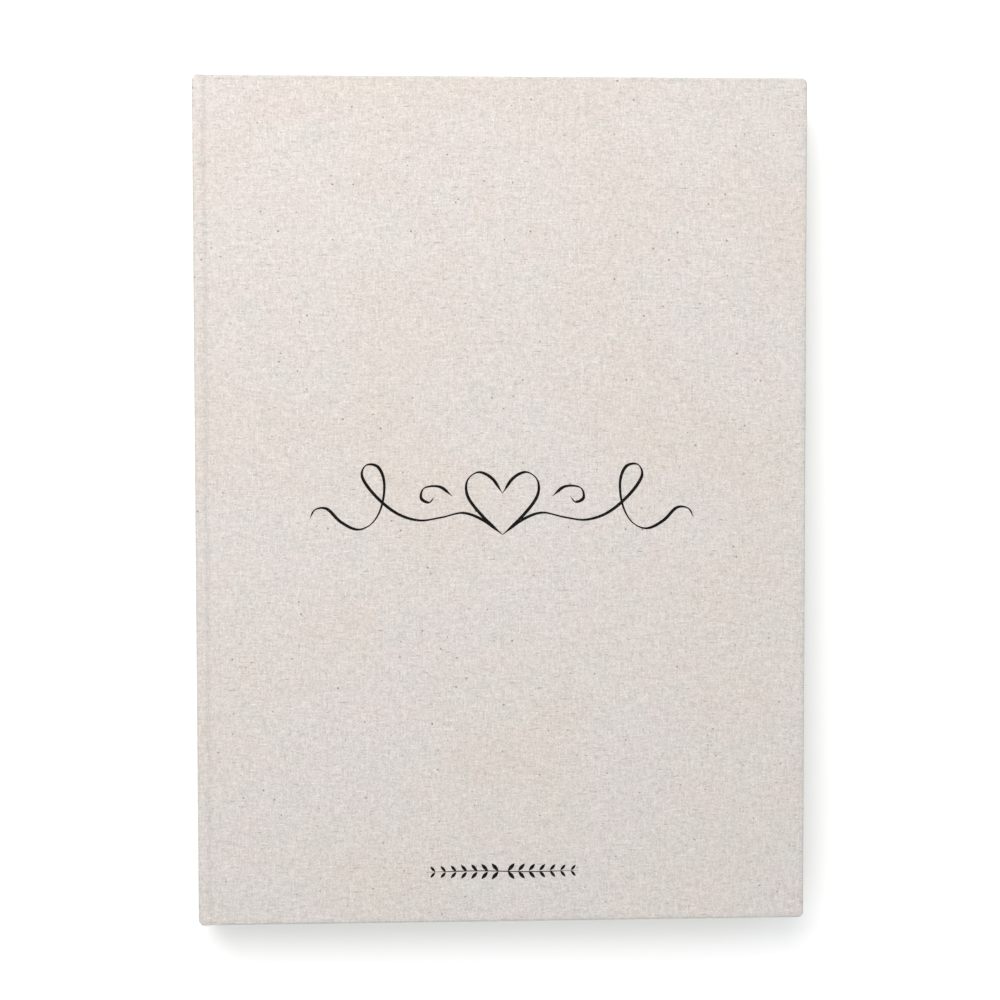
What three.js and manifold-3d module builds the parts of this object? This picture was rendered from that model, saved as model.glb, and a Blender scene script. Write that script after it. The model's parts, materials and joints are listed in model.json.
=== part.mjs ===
// A case-bound guest book: linen-covered boards, a flat spine and a sewn block of A4 pages.
// It lies closed on its back cover. +Z is up out of the front cover, +Y is the head, and the
// spine is on the -X side. The origin is the middle of the footprint. Sizes are in millimetres.

import * as THREE from 'three';
import { mergeVertices } from 'three/addons/utils/BufferGeometryUtils.js';
import Module from 'manifold-3d';

const wasm = await Module();
wasm.setup();

// Pages
const pageWidth = 210;
const pageHeight = 297;
const leafThickness = 0.2;
const leavesPerSection = 8;
const sectionsPerHalf = 3;
const endpaperThickness = 0.2;

// Case. The squares are how far the cover stands past the pages.
const headSquare = 3.5;
const foreEdgeSquare = 5.94;
const clothThickness = 0.4;
const boardThickness = 2.5;
const spineBoardThickness = 2.0;
const turnIn = 15;
const cornerRadius = 2.0;
const grooveWidth = 5.0;
const grooveDepth = 1.4;

// Spine of the block
const tapeWidth = 10;
const tapeThickness = 0.2;
const tapeSpacing = 70;
const tapeCount = 4;
const tapeEndLength = 25;
const mullThickness = 0.12;
const mullFlap = 28;
const liningThickness = 0.12;
const liningEndMargin = 13.5;
const threadDiameter = 0.5;
const centreFoldDepth = 0.4;
const bandTabThickness = 0.3;
const bandTabLength = 10.5;
const bandBeadRadius = 0.8;

// Cover ornament
const inkThickness = 0.05;
const flourishSpan = 138;
const flourishRise = 8;
const flourishStroke = 0.55;
const ruleSpan = 55;
const ruleFromTail = 18.5;
const ruleHalfHeight = 0.9;

// Clearances
const glueGap = 0.02;
const foldGap = 0.06;
const hollowGap = 0.4;
const threadGap = 0.15;
const hingeInset = 0.35;
const gutterInset = 0.3;
const trayWall = 0.2;
const cutOver = 1;
const arcSteps = 6;

// Levels of one bound board, from its outer face inwards
const boardLevel = clothThickness + glueGap;
const turnInLevel = boardLevel + boardThickness + glueGap;
const pastedownLevel = turnInLevel + clothThickness + glueGap;
const blockLevel = pastedownLevel + endpaperThickness + glueGap;

// Levels of one half of the block, from the endpaper to the middle opening
const sectionThickness = leafThickness * leavesPerSection;
const firstSectionLevel = blockLevel + endpaperThickness + glueGap;
const sectionPitch = sectionThickness + glueGap;
const halfSectionLevel = firstSectionLevel + sectionsPerHalf * sectionPitch;
const middleLevel = halfSectionLevel + sectionThickness / 2 + glueGap / 2;
const bookThickness = 2 * middleLevel;

// Overall size of the cover
const stripStack = spineBoardThickness + 2 * clothThickness + 2 * glueGap;
const hollowDepth = glueGap + hollowGap + bandTabThickness;
const halfWidth = (stripStack + hollowDepth + pageWidth + foreEdgeSquare) / 2;
const halfPage = pageHeight / 2;
const halfHeight = halfPage + headSquare;

// Stations across the book, from the spine to the fore-edge
const stripOuterX = -halfWidth + clothThickness + glueGap;
const stripInnerX = stripOuterX + spineBoardThickness;
const stripClothX = stripInnerX + glueGap + clothThickness;
const grooveStartX = stripClothX + glueGap;
const grooveEndX = grooveStartX + grooveWidth;
const boardNearX = grooveEndX + glueGap;
const hingeX = stripInnerX + hingeInset;
const blockX = stripClothX + hollowDepth;
const foreEdgeX = blockX + pageWidth;
const gutterX = blockX - gutterInset;

const cloth = { color: 0xe5ddd6, roughness: 0.95, metalness: 0 };
const greyboard = { color: 0xa39f97, roughness: 0.9, metalness: 0 };
const endpaper = { color: 0xf4f1ea, roughness: 0.85, metalness: 0 };
const pagePaper = { color: 0xf7f5ef, roughness: 0.8, metalness: 0 };
const gauze = { color: 0xeae6da, roughness: 0.95, metalness: 0 };
const tapeCotton = { color: 0xe6dfcf, roughness: 0.95, metalness: 0 };
const kraft = { color: 0xb99a72, roughness: 0.9, metalness: 0 };
const bandSilk = { color: 0xefe9dd, roughness: 0.6, metalness: 0 };
const threadLinen = { color: 0xf0ece2, roughness: 0.8, metalness: 0 };
const ink = { color: 0x161514, roughness: 0.7, metalness: 0 };

function piece(parent, name, geometry, finish, place = [0, 0, 0]) {
  const mesh = new THREE.Mesh(geometry, new THREE.MeshStandardMaterial(finish));
  mesh.name = name;
  mesh.position.set(...place);
  parent.add(mesh);
  return mesh;
}

function box(x0, x1, y0, y1, z0, z1) {
  const geometry = new THREE.BoxGeometry(x1 - x0, y1 - y0, z1 - z0);
  geometry.translate((x0 + x1) / 2, (y0 + y1) / 2, (z0 + z1) / 2);
  return geometry;
}

// A plate in the XY plane. Only the corners on the outer side, side = 1 or -1 in X, are round.
function roundedPlate(xInner, xOuter, halfY, radius, z0, z1) {
  const side = Math.sign(xOuter - xInner);
  const shape = new THREE.Shape();
  shape.moveTo(xInner, -halfY);
  shape.lineTo(xOuter - side * radius, -halfY);
  for (const corner of [-1, 1]) {
    for (let step = 0; step <= arcSteps; step += 1) {
      const turn = (step / arcSteps) * (Math.PI / 2);
      const along = corner < 0 ? Math.sin(turn) : Math.cos(turn);
      const across = corner < 0 ? Math.cos(turn) : Math.sin(turn);
      const x = xOuter - side * radius * (1 - along);
      const y = corner * (halfY - radius * (1 - across));
      shape.lineTo(x, y);
    }
  }
  shape.lineTo(xInner, halfY);
  const geometry = new THREE.ExtrudeGeometry(shape, { depth: z1 - z0, bevelEnabled: false });
  geometry.translate(0, 0, z0);
  return geometry;
}

// An outline drawn in X and Z, made as long as the length in Y and centred on it
function alongY(shape, length) {
  const geometry = new THREE.ExtrudeGeometry(shape, { depth: length, bevelEnabled: false });
  geometry.rotateX(Math.PI / 2);
  geometry.translate(0, length / 2, 0);
  return geometry;
}

function solid(geometry) {
  const bare = geometry.clone();
  bare.deleteAttribute('normal');
  bare.deleteAttribute('uv');
  const merged = mergeVertices(bare, 1e-5);
  return new wasm.Manifold(new wasm.Mesh({
    numProp: 3,
    vertProperties: new Float32Array(merged.attributes.position.array),
    triVerts: new Uint32Array(merged.index.array),
  }));
}

function geometryOf(manifold) {
  const mesh = manifold.getMesh();
  const geometry = new THREE.BufferGeometry();
  geometry.setAttribute('position', new THREE.BufferAttribute(mesh.vertProperties, 3));
  geometry.setIndex(new THREE.BufferAttribute(mesh.triVerts, 1));
  return geometry.toNonIndexed();
}

// Cloth round one board: the outer sheet, its three wrapped edges and the turn-ins inside
function coverClothGeometry() {
  const level = turnInLevel + clothThickness;
  const outer = roundedPlate(boardNearX, halfWidth, halfHeight, cornerRadius, 0, level);
  const wall = clothThickness;
  const pocket = roundedPlate(
    boardNearX - cutOver,
    halfWidth - wall,
    halfHeight - wall,
    cornerRadius - wall,
    clothThickness,
    turnInLevel,
  );
  const open = halfHeight - wall - turnIn;
  const window = box(boardNearX - cutOver, halfWidth - wall - turnIn, -open, open, boardLevel, level + cutOver);
  return geometryOf(solid(outer).subtract(solid(pocket)).subtract(solid(window)));
}

function boardGeometry() {
  const margin = clothThickness + glueGap;
  return roundedPlate(
    boardNearX,
    halfWidth - margin,
    halfHeight - margin,
    cornerRadius - margin,
    0,
    boardThickness,
  );
}

// Pastedown: it lies on the turn-ins round its edge and dips to the board between them
function pastedownGeometry() {
  const trayX0 = boardNearX + mullFlap + cutOver;
  const trayX1 = halfWidth - clothThickness - turnIn - glueGap;
  const trayY = halfHeight - clothThickness - turnIn - glueGap;
  const dip = clothThickness + glueGap;
  const sheet = box(boardNearX, foreEdgeX, -halfPage, halfPage, 0, endpaperThickness);
  const tray = box(trayX0, trayX1, -trayY, trayY, -dip, endpaperThickness);
  const hollow = box(
    trayX0 + trayWall,
    trayX1 - trayWall,
    -trayY + trayWall,
    trayY - trayWall,
    endpaperThickness - dip,
    endpaperThickness + cutOver,
  );
  return geometryOf(solid(sheet).add(solid(tray)).subtract(solid(hollow)));
}

function tapeY(index) {
  return (index - (tapeCount - 1) / 2) * tapeSpacing;
}

// One board with everything glued to it, outer face at z = 0 and inner face up
function boundBoard(side) {
  const group = new THREE.Group();
  piece(group, `${side}_cover_cloth`, coverClothGeometry(), cloth);
  piece(group, `${side}_board`, boardGeometry(), greyboard, [0, 0, boardLevel]);
  const tapeEndX = boardNearX + tapeEndLength;
  const order = side === 'front' ? 1 : -1;
  for (let index = 0; index < tapeCount; index += 1) {
    const geometry = box(boardNearX, tapeEndX, -tapeWidth / 2, tapeWidth / 2, 0, tapeThickness);
    const place = [0, order * tapeY(index), turnInLevel];
    piece(group, `${side}_tape_end_${index + 1}`, geometry, tapeCotton, place);
  }
  const mullY = halfPage - liningEndMargin;
  const mull = box(boardNearX, boardNearX + mullFlap, -mullY, mullY, 0, mullThickness);
  piece(group, `${side}_mull_flap`, mull, gauze, [0, 0, turnInLevel + tapeThickness + glueGap]);
  piece(group, `${side}_pastedown`, pastedownGeometry(), endpaper, [0, 0, pastedownLevel]);
  return group;
}

// A folded section: its fold is the half-round edge at the spine
function sectionGeometry() {
  const radius = sectionThickness / 2;
  const shape = new THREE.Shape();
  shape.moveTo(foreEdgeX, 0);
  shape.lineTo(foreEdgeX, sectionThickness);
  for (let step = 0; step <= 2 * arcSteps; step += 1) {
    const turn = Math.PI / 2 + (step / (2 * arcSteps)) * Math.PI;
    shape.lineTo(blockX + radius + radius * Math.cos(turn), radius + radius * Math.sin(turn));
  }
  return alongY(shape, pageHeight);
}

// Half of the middle section, under the opening. Its inner side leaves room for fold and thread.
const centreRoom = threadDiameter / 2 + threadGap;
const centreRoomX = blockX + centreFoldDepth + threadDiameter + 3 * foldGap;

function halfSectionGeometry() {
  const radius = sectionThickness / 2;
  const shape = new THREE.Shape();
  const roomTurn = Math.PI + Math.asin(centreRoom / radius);
  shape.moveTo(foreEdgeX, 0);
  shape.lineTo(foreEdgeX, radius);
  shape.lineTo(centreRoomX, radius);
  shape.lineTo(centreRoomX, radius - centreRoom);
  for (let step = 0; step <= arcSteps; step += 1) {
    const turn = roomTurn + (step / arcSteps) * (1.5 * Math.PI - roomTurn);
    shape.lineTo(blockX + radius + radius * Math.cos(turn), radius + radius * Math.sin(turn));
  }
  return alongY(shape, pageHeight);
}

// Fold of the sheets of the middle section, which crosses the opening
function centreFoldGeometry() {
  const radius = sectionThickness / 2;
  const reach = Math.asin((centreRoom - glueGap) / radius);
  const shape = new THREE.Shape();
  const backX = blockX + centreFoldDepth;
  shape.moveTo(backX, -centreRoom + glueGap);
  shape.lineTo(backX, centreRoom - glueGap);
  for (let step = 0; step <= arcSteps; step += 1) {
    const turn = Math.PI - reach + (step / arcSteps) * 2 * reach;
    shape.lineTo(blockX + radius + radius * Math.cos(turn), radius * Math.sin(turn));
  }
  return alongY(shape, pageHeight);
}

// Half of the block, from its flyleaf up to the middle opening
function halfBlock(side, sectionNames) {
  const group = new THREE.Group();
  const flyleaf = box(blockX, foreEdgeX, -halfPage, halfPage, 0, endpaperThickness);
  piece(group, `${side}_flyleaf`, flyleaf, endpaper, [0, 0, blockLevel]);
  sectionNames.forEach((name, index) => {
    piece(group, name, sectionGeometry(), pagePaper, [0, 0, firstSectionLevel + index * sectionPitch]);
  });
  const half = halfSectionGeometry();
  piece(group, `section_4_${side}_half`, half, pagePaper, [0, 0, halfSectionLevel]);
  return group;
}

// Cloth of the groove between the spine and a board: it dips once and rises to the board
function jointClothGeometry() {
  const steps = 2 * arcSteps;
  const shape = new THREE.Shape();
  const dip = (part) => (grooveDepth / 2) * (1 - Math.cos(2 * Math.PI * part));
  shape.moveTo(grooveStartX, 0);
  for (let step = 1; step <= steps; step += 1) {
    const part = step / steps;
    shape.lineTo(grooveStartX + part * grooveWidth, dip(part));
  }
  for (let step = steps; step >= 0; step -= 1) {
    const part = step / steps;
    shape.lineTo(grooveStartX + part * grooveWidth, dip(part) + clothThickness);
  }
  return alongY(shape, 2 * halfHeight);
}

// Cloth round the spine board, with its turn-ins at head and tail
function spineClothGeometry() {
  const wall = clothThickness;
  const outer = roundedPlate(stripClothX, -halfWidth, halfHeight, cornerRadius, 0, bookThickness);
  const pocket = roundedPlate(
    stripInnerX + glueGap,
    -halfWidth + wall,
    halfHeight - wall,
    cornerRadius - wall,
    wall,
    bookThickness - wall,
  );
  const open = halfHeight - wall - turnIn;
  const window = box(stripInnerX, stripClothX + cutOver, -open, open, wall, bookThickness - wall);
  return geometryOf(solid(outer).subtract(solid(pocket)).subtract(solid(window)));
}

function spineBoardGeometry() {
  const margin = clothThickness + glueGap;
  return roundedPlate(
    stripInnerX,
    stripOuterX,
    halfHeight - margin,
    cornerRadius - margin,
    margin,
    bookThickness - margin,
  );
}

// Headband: a round bead on the edge of the pages and a tab glued down the spine
function bandGeometry() {
  const tabX = blockX - glueGap;
  const outerX = tabX - bandTabThickness;
  const beadX = outerX + bandBeadRadius;
  const beadY = halfPage + bandBeadRadius + foldGap;
  const shape = new THREE.Shape();
  shape.moveTo(outerX, halfPage - bandTabLength);
  for (let step = 0; step <= 3 * arcSteps; step += 1) {
    const turn = Math.PI - (step / (3 * arcSteps)) * 1.5 * Math.PI;
    shape.lineTo(beadX + bandBeadRadius * Math.cos(turn), beadY + bandBeadRadius * Math.sin(turn));
  }
  shape.lineTo(tabX, beadY - bandBeadRadius);
  shape.lineTo(tabX, halfPage - bandTabLength);
  const depth = bookThickness - 2 * blockLevel;
  const geometry = new THREE.ExtrudeGeometry(shape, { depth, bevelEnabled: false });
  geometry.translate(0, 0, -depth / 2);
  return geometry;
}

// Tapes, mull and paper lining on the spine of the block, and the bands at its ends
function spineLinings() {
  const group = new THREE.Group();
  group.position.z = middleLevel;
  const rise = middleLevel - blockLevel;
  const tapeX = blockX - glueGap;
  for (let index = 0; index < tapeCount; index += 1) {
    const geometry = box(tapeX - tapeThickness, tapeX, -tapeWidth / 2, tapeWidth / 2, -rise, rise);
    piece(group, `tape_${index + 1}`, geometry, tapeCotton, [0, -tapeY(index), 0]);
  }
  const mullX = tapeX - tapeThickness - glueGap;
  const reach = halfPage - liningEndMargin;
  piece(group, 'mull', box(mullX - mullThickness, mullX, -reach, reach, -rise, rise), gauze);
  const liningX = mullX - mullThickness - glueGap;
  const lining = box(liningX - liningThickness, liningX, -reach, reach, -rise, rise);
  piece(group, 'spine_lining', lining, kraft);
  piece(group, 'headband', bandGeometry(), bandSilk);
  piece(group, 'tailband', bandGeometry(), bandSilk).rotation.x = Math.PI;
  piece(group, 'centre_fold', centreFoldGeometry(), pagePaper);
  const radius = threadDiameter / 2;
  const threadX = blockX + centreFoldDepth + foldGap + radius;
  const thread = new THREE.CylinderGeometry(radius, radius, 2 * reach, 8);
  piece(group, 'sewing_thread', thread, threadLinen, [threadX, 0, 0]);
  return group;
}

// One long pen stroke that swells in the middle of each wave and thins to its ends
function flourishGeometry() {
  const steps = 60;
  const upper = [];
  const lower = [];
  for (let step = 0; step <= steps; step += 1) {
    const part = step / steps;
    const fade = Math.sin(Math.PI * part);
    const x = (part - 0.5) * flourishSpan;
    const y = flourishRise * fade * Math.sin(4 * Math.PI * part);
    const swell = flourishStroke * (0.25 + 0.75 * fade);
    upper.push(new THREE.Vector2(x, y + swell));
    lower.unshift(new THREE.Vector2(x, y - swell));
  }
  const shape = new THREE.Shape([...upper, ...lower]);
  return new THREE.ExtrudeGeometry(shape, { depth: inkThickness, bevelEnabled: false });
}

// A short rule, widest in the middle and pointed at both ends
function ruleGeometry() {
  const half = ruleSpan / 2;
  const shape = new THREE.Shape();
  shape.moveTo(-half, 0);
  shape.quadraticCurveTo(0, -2 * ruleHalfHeight, half, 0);
  shape.quadraticCurveTo(0, 2 * ruleHalfHeight, -half, 0);
  const depth = inkThickness;
  return new THREE.ExtrudeGeometry(shape, { depth, bevelEnabled: false, curveSegments: 10 });
}

// The front of the book is its back turned over about the X axis
function turnedOver(group) {
  group.rotation.x = Math.PI;
  group.position.z = bookThickness;
  return group;
}

const guestBook = new THREE.Group();
guestBook.add(boundBoard('back'));
guestBook.add(halfBlock('back', ['section_7', 'section_6', 'section_5']));
guestBook.add(spineLinings());
guestBook.add(turnedOver(halfBlock('front', ['section_1', 'section_2', 'section_3'])));
guestBook.add(turnedOver(boundBoard('front')));

piece(guestBook, 'spine_board', spineBoardGeometry(), greyboard);
piece(guestBook, 'spine_cloth', spineClothGeometry(), cloth);
piece(guestBook, 'back_joint_cloth', jointClothGeometry(), cloth);
const frontJoint = new THREE.Group();
piece(frontJoint, 'front_joint_cloth', jointClothGeometry(), cloth);
guestBook.add(turnedOver(frontJoint));

// Pivots, as X and Z: the two cloth joints of the case and the opening in the middle of the block
const hingeZ = hingeX + halfWidth;
guestBook.userData.pivots = {
  backJoint: [hingeX, hingeZ],
  frontJoint: [hingeX, bookThickness - hingeZ],
  gutter: [gutterX, middleLevel],
};

const inkLevel = bookThickness + glueGap;
piece(guestBook, 'cover_flourish', flourishGeometry(), ink, [0, 0, inkLevel]);
piece(guestBook, 'cover_rule', ruleGeometry(), ink, [0, -halfHeight + ruleFromTail, inkLevel]);

export default guestBook;
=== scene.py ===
"""Linen guest book: its case, endpapers, sewn pages and cover ornament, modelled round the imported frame.

Lengths are in metres, in the frame's own axes: +Z out of the front cover, +Y to the head, spine at -X.
"""

import json
import math
import random

import bmesh
import bpy
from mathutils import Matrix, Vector


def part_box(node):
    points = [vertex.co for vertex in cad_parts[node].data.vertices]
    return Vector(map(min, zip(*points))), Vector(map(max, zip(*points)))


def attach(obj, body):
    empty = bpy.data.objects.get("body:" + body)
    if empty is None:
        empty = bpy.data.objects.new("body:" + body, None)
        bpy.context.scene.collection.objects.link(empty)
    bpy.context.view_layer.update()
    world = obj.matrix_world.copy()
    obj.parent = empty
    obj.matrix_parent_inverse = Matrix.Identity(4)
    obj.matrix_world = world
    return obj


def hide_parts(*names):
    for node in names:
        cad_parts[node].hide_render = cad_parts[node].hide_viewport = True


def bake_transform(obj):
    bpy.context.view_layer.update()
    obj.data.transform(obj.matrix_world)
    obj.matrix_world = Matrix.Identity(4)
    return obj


bl_info = {
    "name": "Linen Guest Book",
    "version": (1, 0, 0),
    "blender": (4, 5, 0),
    "location": "3D View > Sidebar > Guest Book",
    "description": "Builds a case-bound linen guest book round its packed frame",
    "category": "Add Mesh",
}

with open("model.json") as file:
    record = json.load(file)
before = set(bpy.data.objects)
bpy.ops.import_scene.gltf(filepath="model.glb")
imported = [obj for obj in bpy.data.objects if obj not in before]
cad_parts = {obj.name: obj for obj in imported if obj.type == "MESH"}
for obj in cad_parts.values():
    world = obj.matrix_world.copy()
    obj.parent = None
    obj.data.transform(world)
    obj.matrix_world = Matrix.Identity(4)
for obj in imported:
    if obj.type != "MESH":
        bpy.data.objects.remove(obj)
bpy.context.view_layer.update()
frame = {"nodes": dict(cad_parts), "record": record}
MM = 0.001


def corners(node):
    """Lowest and highest corner of a frame node, as vectors."""
    low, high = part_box(node)
    return Vector(low), Vector(high)


def joint_place(name):
    """A point on the axis of a joint of the record."""
    for joint in frame["record"]["behaviour"]["joints"]:
        if joint["name"] == name:
            return Vector(joint["pos_m"])
    raise RuntimeError(f"the record has no joint named {name}")


# An endpaper rises over this length where it climbs onto a layer, and is up this far before the layer starts
CLIMB = 0.6 * MM
CLIMB_MARGIN = 0.55 * MM
CLOTH_LOW, CLOTH_HIGH = corners("back_cover_cloth")
SPINE_LOW, SPINE_HIGH = corners("spine_cloth")
BOARD_LOW, BOARD_HIGH = corners("back_board")
GROOVE_LOW, GROOVE_HIGH = corners("back_joint_cloth")
PASTE_HIGH = corners("back_pastedown")[1]
MULL_FLAP_HIGH = corners("back_mull_flap")[1]
FLYLEAF_LOW, FLYLEAF_HIGH = corners("back_flyleaf")
SECTION_LOW, SECTION_HIGH = corners("section_7")
BOOK_TOP = SPINE_HIGH.z
MIDDLE = BOOK_TOP / 2
HALF_CLOTH = (BOARD_LOW.z - CLOTH_LOW.z) / 2
GUTTER_X = joint_place("pages_turn").x
SHEETS_PER_SECTION = 4
TAPE_COUNT = 4
# Height of the middle of a pastedown where it lies on the turn-ins and where it lies on bare board
PASTE_TOP = PASTE_HIGH.z - 0.1 * MM
PASTE_BARE = BOARD_HIGH.z + 0.12 * MM
# Share of the whole rise that the mull alone gives a pastedown
MULL_LIFT = 0.8
# Colour of the cut edges of the leaves and of the fibres in them
ENDPAPER_EDGE = (0.60, 0.545, 0.46)
PAGE_EDGE = (0.52, 0.455, 0.37)
# Number of different tones that tell leaves apart
LEAF_TONES = 64


# ---------------------------------------------------------------- settings


class CaseSettings(bpy.types.PropertyGroup):
    """Sizes and colours of the linen case."""

    cloth_gauge: bpy.props.FloatProperty(
        name="Cloth gauge",
        description="Thickness of the book cloth as it is drawn",
        default=0.34 * MM,
        precision=5,
        unit="LENGTH",
    )
    edge_round: bpy.props.FloatProperty(
        name="Edge rounding",
        description="Radius that the cloth takes as it wraps the edge of a board",
        default=0.75 * MM,
        precision=5,
        unit="LENGTH",
    )
    corner_round: bpy.props.FloatProperty(
        name="Corner rounding",
        description="Radius of the corners of the cover, seen from above",
        default=1.9 * MM,
        precision=5,
        unit="LENGTH",
    )
    turn_in: bpy.props.FloatProperty(
        name="Turn-in",
        description="Width of the cloth that is glued round the inside of the boards",
        default=15 * MM,
        precision=4,
        unit="LENGTH",
    )
    groove_depth: bpy.props.FloatProperty(
        name="Groove depth",
        description="Depth of the joint between the spine and a board",
        default=0.75 * MM,
        precision=5,
        unit="LENGTH",
    )
    thread_pitch: bpy.props.FloatProperty(
        name="Thread pitch",
        description="Distance from one linen thread to the next",
        default=0.62 * MM,
        precision=5,
        unit="LENGTH",
    )
    linen: bpy.props.FloatVectorProperty(
        name="Linen",
        description="Main colour of the cloth",
        subtype="COLOR",
        min=0,
        max=1,
        default=(0.534, 0.497, 0.481),
    )
    fleck: bpy.props.FloatVectorProperty(
        name="Fleck",
        description="Colour of the bark flecks in the yarn",
        subtype="COLOR",
        min=0,
        max=1,
        default=(0.17, 0.125, 0.085),
    )


class PaperSettings(bpy.types.PropertyGroup):
    """Sizes and colours of the endpapers and pages."""

    leaf_gauge: bpy.props.FloatProperty(
        name="Leaf gauge",
        description="Thickness of one leaf as it is drawn",
        default=0.165 * MM,
        precision=6,
        unit="LENGTH",
    )
    page: bpy.props.FloatVectorProperty(
        name="Page",
        description="Colour of the text paper",
        subtype="COLOR",
        min=0,
        max=1,
        default=(0.665, 0.628, 0.565),
    )
    endpaper: bpy.props.FloatVectorProperty(
        name="Endpaper",
        description="Colour of the endpapers",
        subtype="COLOR",
        min=0,
        max=1,
        default=(0.62, 0.575, 0.50),
    )


class OrnamentSettings(bpy.types.PropertyGroup):
    """Size, place and colour of the inked ornament."""

    nib: bpy.props.FloatProperty(
        name="Nib",
        description="Widest stroke of the pen",
        default=1.12 * MM,
        precision=5,
        unit="LENGTH",
    )
    ink: bpy.props.FloatVectorProperty(
        name="Ink",
        description="Colour of the ink",
        subtype="COLOR",
        min=0,
        max=1,
        default=(0.0045, 0.0044, 0.0044),
    )


class StageSettings(bpy.types.PropertyGroup):
    """Camera and light."""

    lens: bpy.props.FloatProperty(
        name="Lens",
        description="Focal length of the camera",
        default=70,
        unit="CAMERA",
    )
    camera_place: bpy.props.FloatVectorProperty(
        name="Camera place",
        description="Where the camera stands",
        subtype="TRANSLATION",
        unit="LENGTH",
        size=3,
        default=(-0.03344, 0.03138, 0.71536),
    )
    camera_turn: bpy.props.FloatVectorProperty(
        name="Camera turn",
        description="How the camera is turned from looking straight down",
        subtype="EULER",
        unit="ROTATION",
        size=3,
        default=(-0.04347, -0.04677, -0.00182),
    )
    key_power: bpy.props.FloatProperty(
        name="Key power",
        description="Power of the soft light over the head of the book",
        default=6.3,
        unit="POWER",
    )
    sky: bpy.props.FloatProperty(
        name="Sky",
        description="Strength of the even light from all round",
        default=0.93,
        subtype="FACTOR",
    )


# ---------------------------------------------------------------- making pieces


def deselect_all():
    """Leaves nothing selected, so that the next operator acts on its own piece only."""
    if bpy.context.mode != "OBJECT":
        bpy.ops.object.mode_set(mode="OBJECT")
    bpy.ops.object.select_all(action="DESELECT")


def activate(obj):
    """Selects one object and makes it the active one."""
    deselect_all()
    obj.select_set(True)
    bpy.context.view_layer.objects.active = obj


def modify(obj, kind, **settings):
    """Adds a modifier with these settings and applies it."""
    activate(obj)
    bpy.ops.object.modifier_add(type=kind)
    modifier = obj.modifiers[-1]
    for name, value in settings.items():
        setattr(modifier, name, value)
    bpy.ops.object.modifier_apply(modifier=modifier.name)


def tidy_mesh(obj, merge=1e-6):
    """Merges doubled points and turns every face outwards."""
    activate(obj)
    bpy.ops.object.mode_set(mode="EDIT")
    bpy.ops.mesh.select_all(action="SELECT")
    bpy.ops.mesh.remove_doubles(threshold=merge)
    bpy.ops.mesh.normals_make_consistent(inside=False)
    bpy.ops.object.mode_set(mode="OBJECT")


def thicken(obj, gauge):
    """Gives a sheet its thickness, half to each side."""
    tidy_mesh(obj)
    modify(obj, "SOLIDIFY", thickness=gauge, offset=0)
    tidy_mesh(obj, merge=1e-7)


def smooth(obj, angle=40):
    """Shades an object smooth up to an angle in degrees."""
    activate(obj)
    bpy.ops.object.shade_smooth_by_angle(angle=math.radians(angle))


def turn_over(obj):
    """Turns a piece of the back of the book over, about the X axis, into its place at the front."""
    for vertex in obj.data.vertices:
        vertex.co.y = -vertex.co.y
        vertex.co.z = BOOK_TOP - vertex.co.z
    return obj


def rename(obj, name):
    """Gives an object and its mesh the same name."""
    obj.name = name
    obj.data.name = name
    return obj


def join(pieces, name):
    """Joins several objects into the first one."""
    activate(pieces[0])
    for piece in pieces:
        piece.select_set(True)
    bpy.ops.object.join()
    return rename(bpy.context.view_layer.objects.active, name)


def object_from(mesh, name):
    """An object from a BMesh, which is freed."""
    data = bpy.data.meshes.new(name)
    mesh.to_mesh(data)
    mesh.free()
    obj = bpy.data.objects.new(name, data)
    bpy.context.collection.objects.link(obj)
    return obj


def new_grid(name, columns, rows):
    """A grid one metre square, to be shaped into a piece."""
    deselect_all()
    bpy.ops.mesh.primitive_grid_add(x_subdivisions=columns, y_subdivisions=rows, size=1)
    return rename(bpy.context.view_layer.objects.active, name)


def swept_sheet(name, profile, stations):
    """A sheet that follows a profile of (x, z) points and spans a list of y stations.

    A strip is added over the first step, and its far edge is extruded along the rest.
    """
    cells = len(stations) - 1
    obj = new_grid(name, 1, cells)
    far = []
    for vertex in obj.data.vertices:
        at_far_edge = vertex.co.x > 0
        x, z = profile[1] if at_far_edge else profile[0]
        row = round((vertex.co.y + 0.5) * cells)
        vertex.co = (x, stations[row], z)
        if at_far_edge:
            far.append(vertex.index)
    bpy.ops.object.mode_set(mode="EDIT")
    bpy.ops.mesh.select_mode(type="EDGE")
    bpy.ops.mesh.select_all(action="DESELECT")
    mesh = bmesh.from_edit_mesh(obj.data)
    mesh.verts.ensure_lookup_table()
    ends = {mesh.verts[index] for index in far}
    for edge in mesh.edges:
        if edge.verts[0] in ends and edge.verts[1] in ends:
            edge.select_set(True)
    bmesh.update_edit_mesh(obj.data)
    for (xa, za), (xb, zb) in zip(profile[1:], profile[2:]):
        step = (xb - xa, 0, zb - za)
        bpy.ops.mesh.extrude_region_move(TRANSFORM_OT_translate={"value": step})
    bpy.ops.object.mode_set(mode="OBJECT")
    return obj


def tube(name, centres, radii, around=10):
    """A closed round rod through a list of centres that run along Y or Z, with a radius at each."""
    rows = len(centres) - 1
    obj = new_grid(name, around, rows)
    run = (centres[-1] - centres[0]).normalized()
    side = Vector((1, 0, 0))
    up = run.cross(side)
    for vertex in obj.data.vertices:
        row = round((vertex.co.y + 0.5) * rows)
        angle = 2 * math.pi * (vertex.co.x + 0.5)
        ring = side * math.cos(angle) + up * math.sin(angle)
        vertex.co = centres[row] + ring * radii[row]
    tidy_mesh(obj)
    bpy.ops.object.mode_set(mode="EDIT")
    bpy.ops.mesh.select_all(action="DESELECT")
    bpy.ops.mesh.select_mode(type="EDGE")
    bpy.ops.mesh.select_non_manifold()
    bpy.ops.mesh.edge_face_add()
    bpy.ops.object.mode_set(mode="OBJECT")
    tidy_mesh(obj)
    return obj


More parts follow.
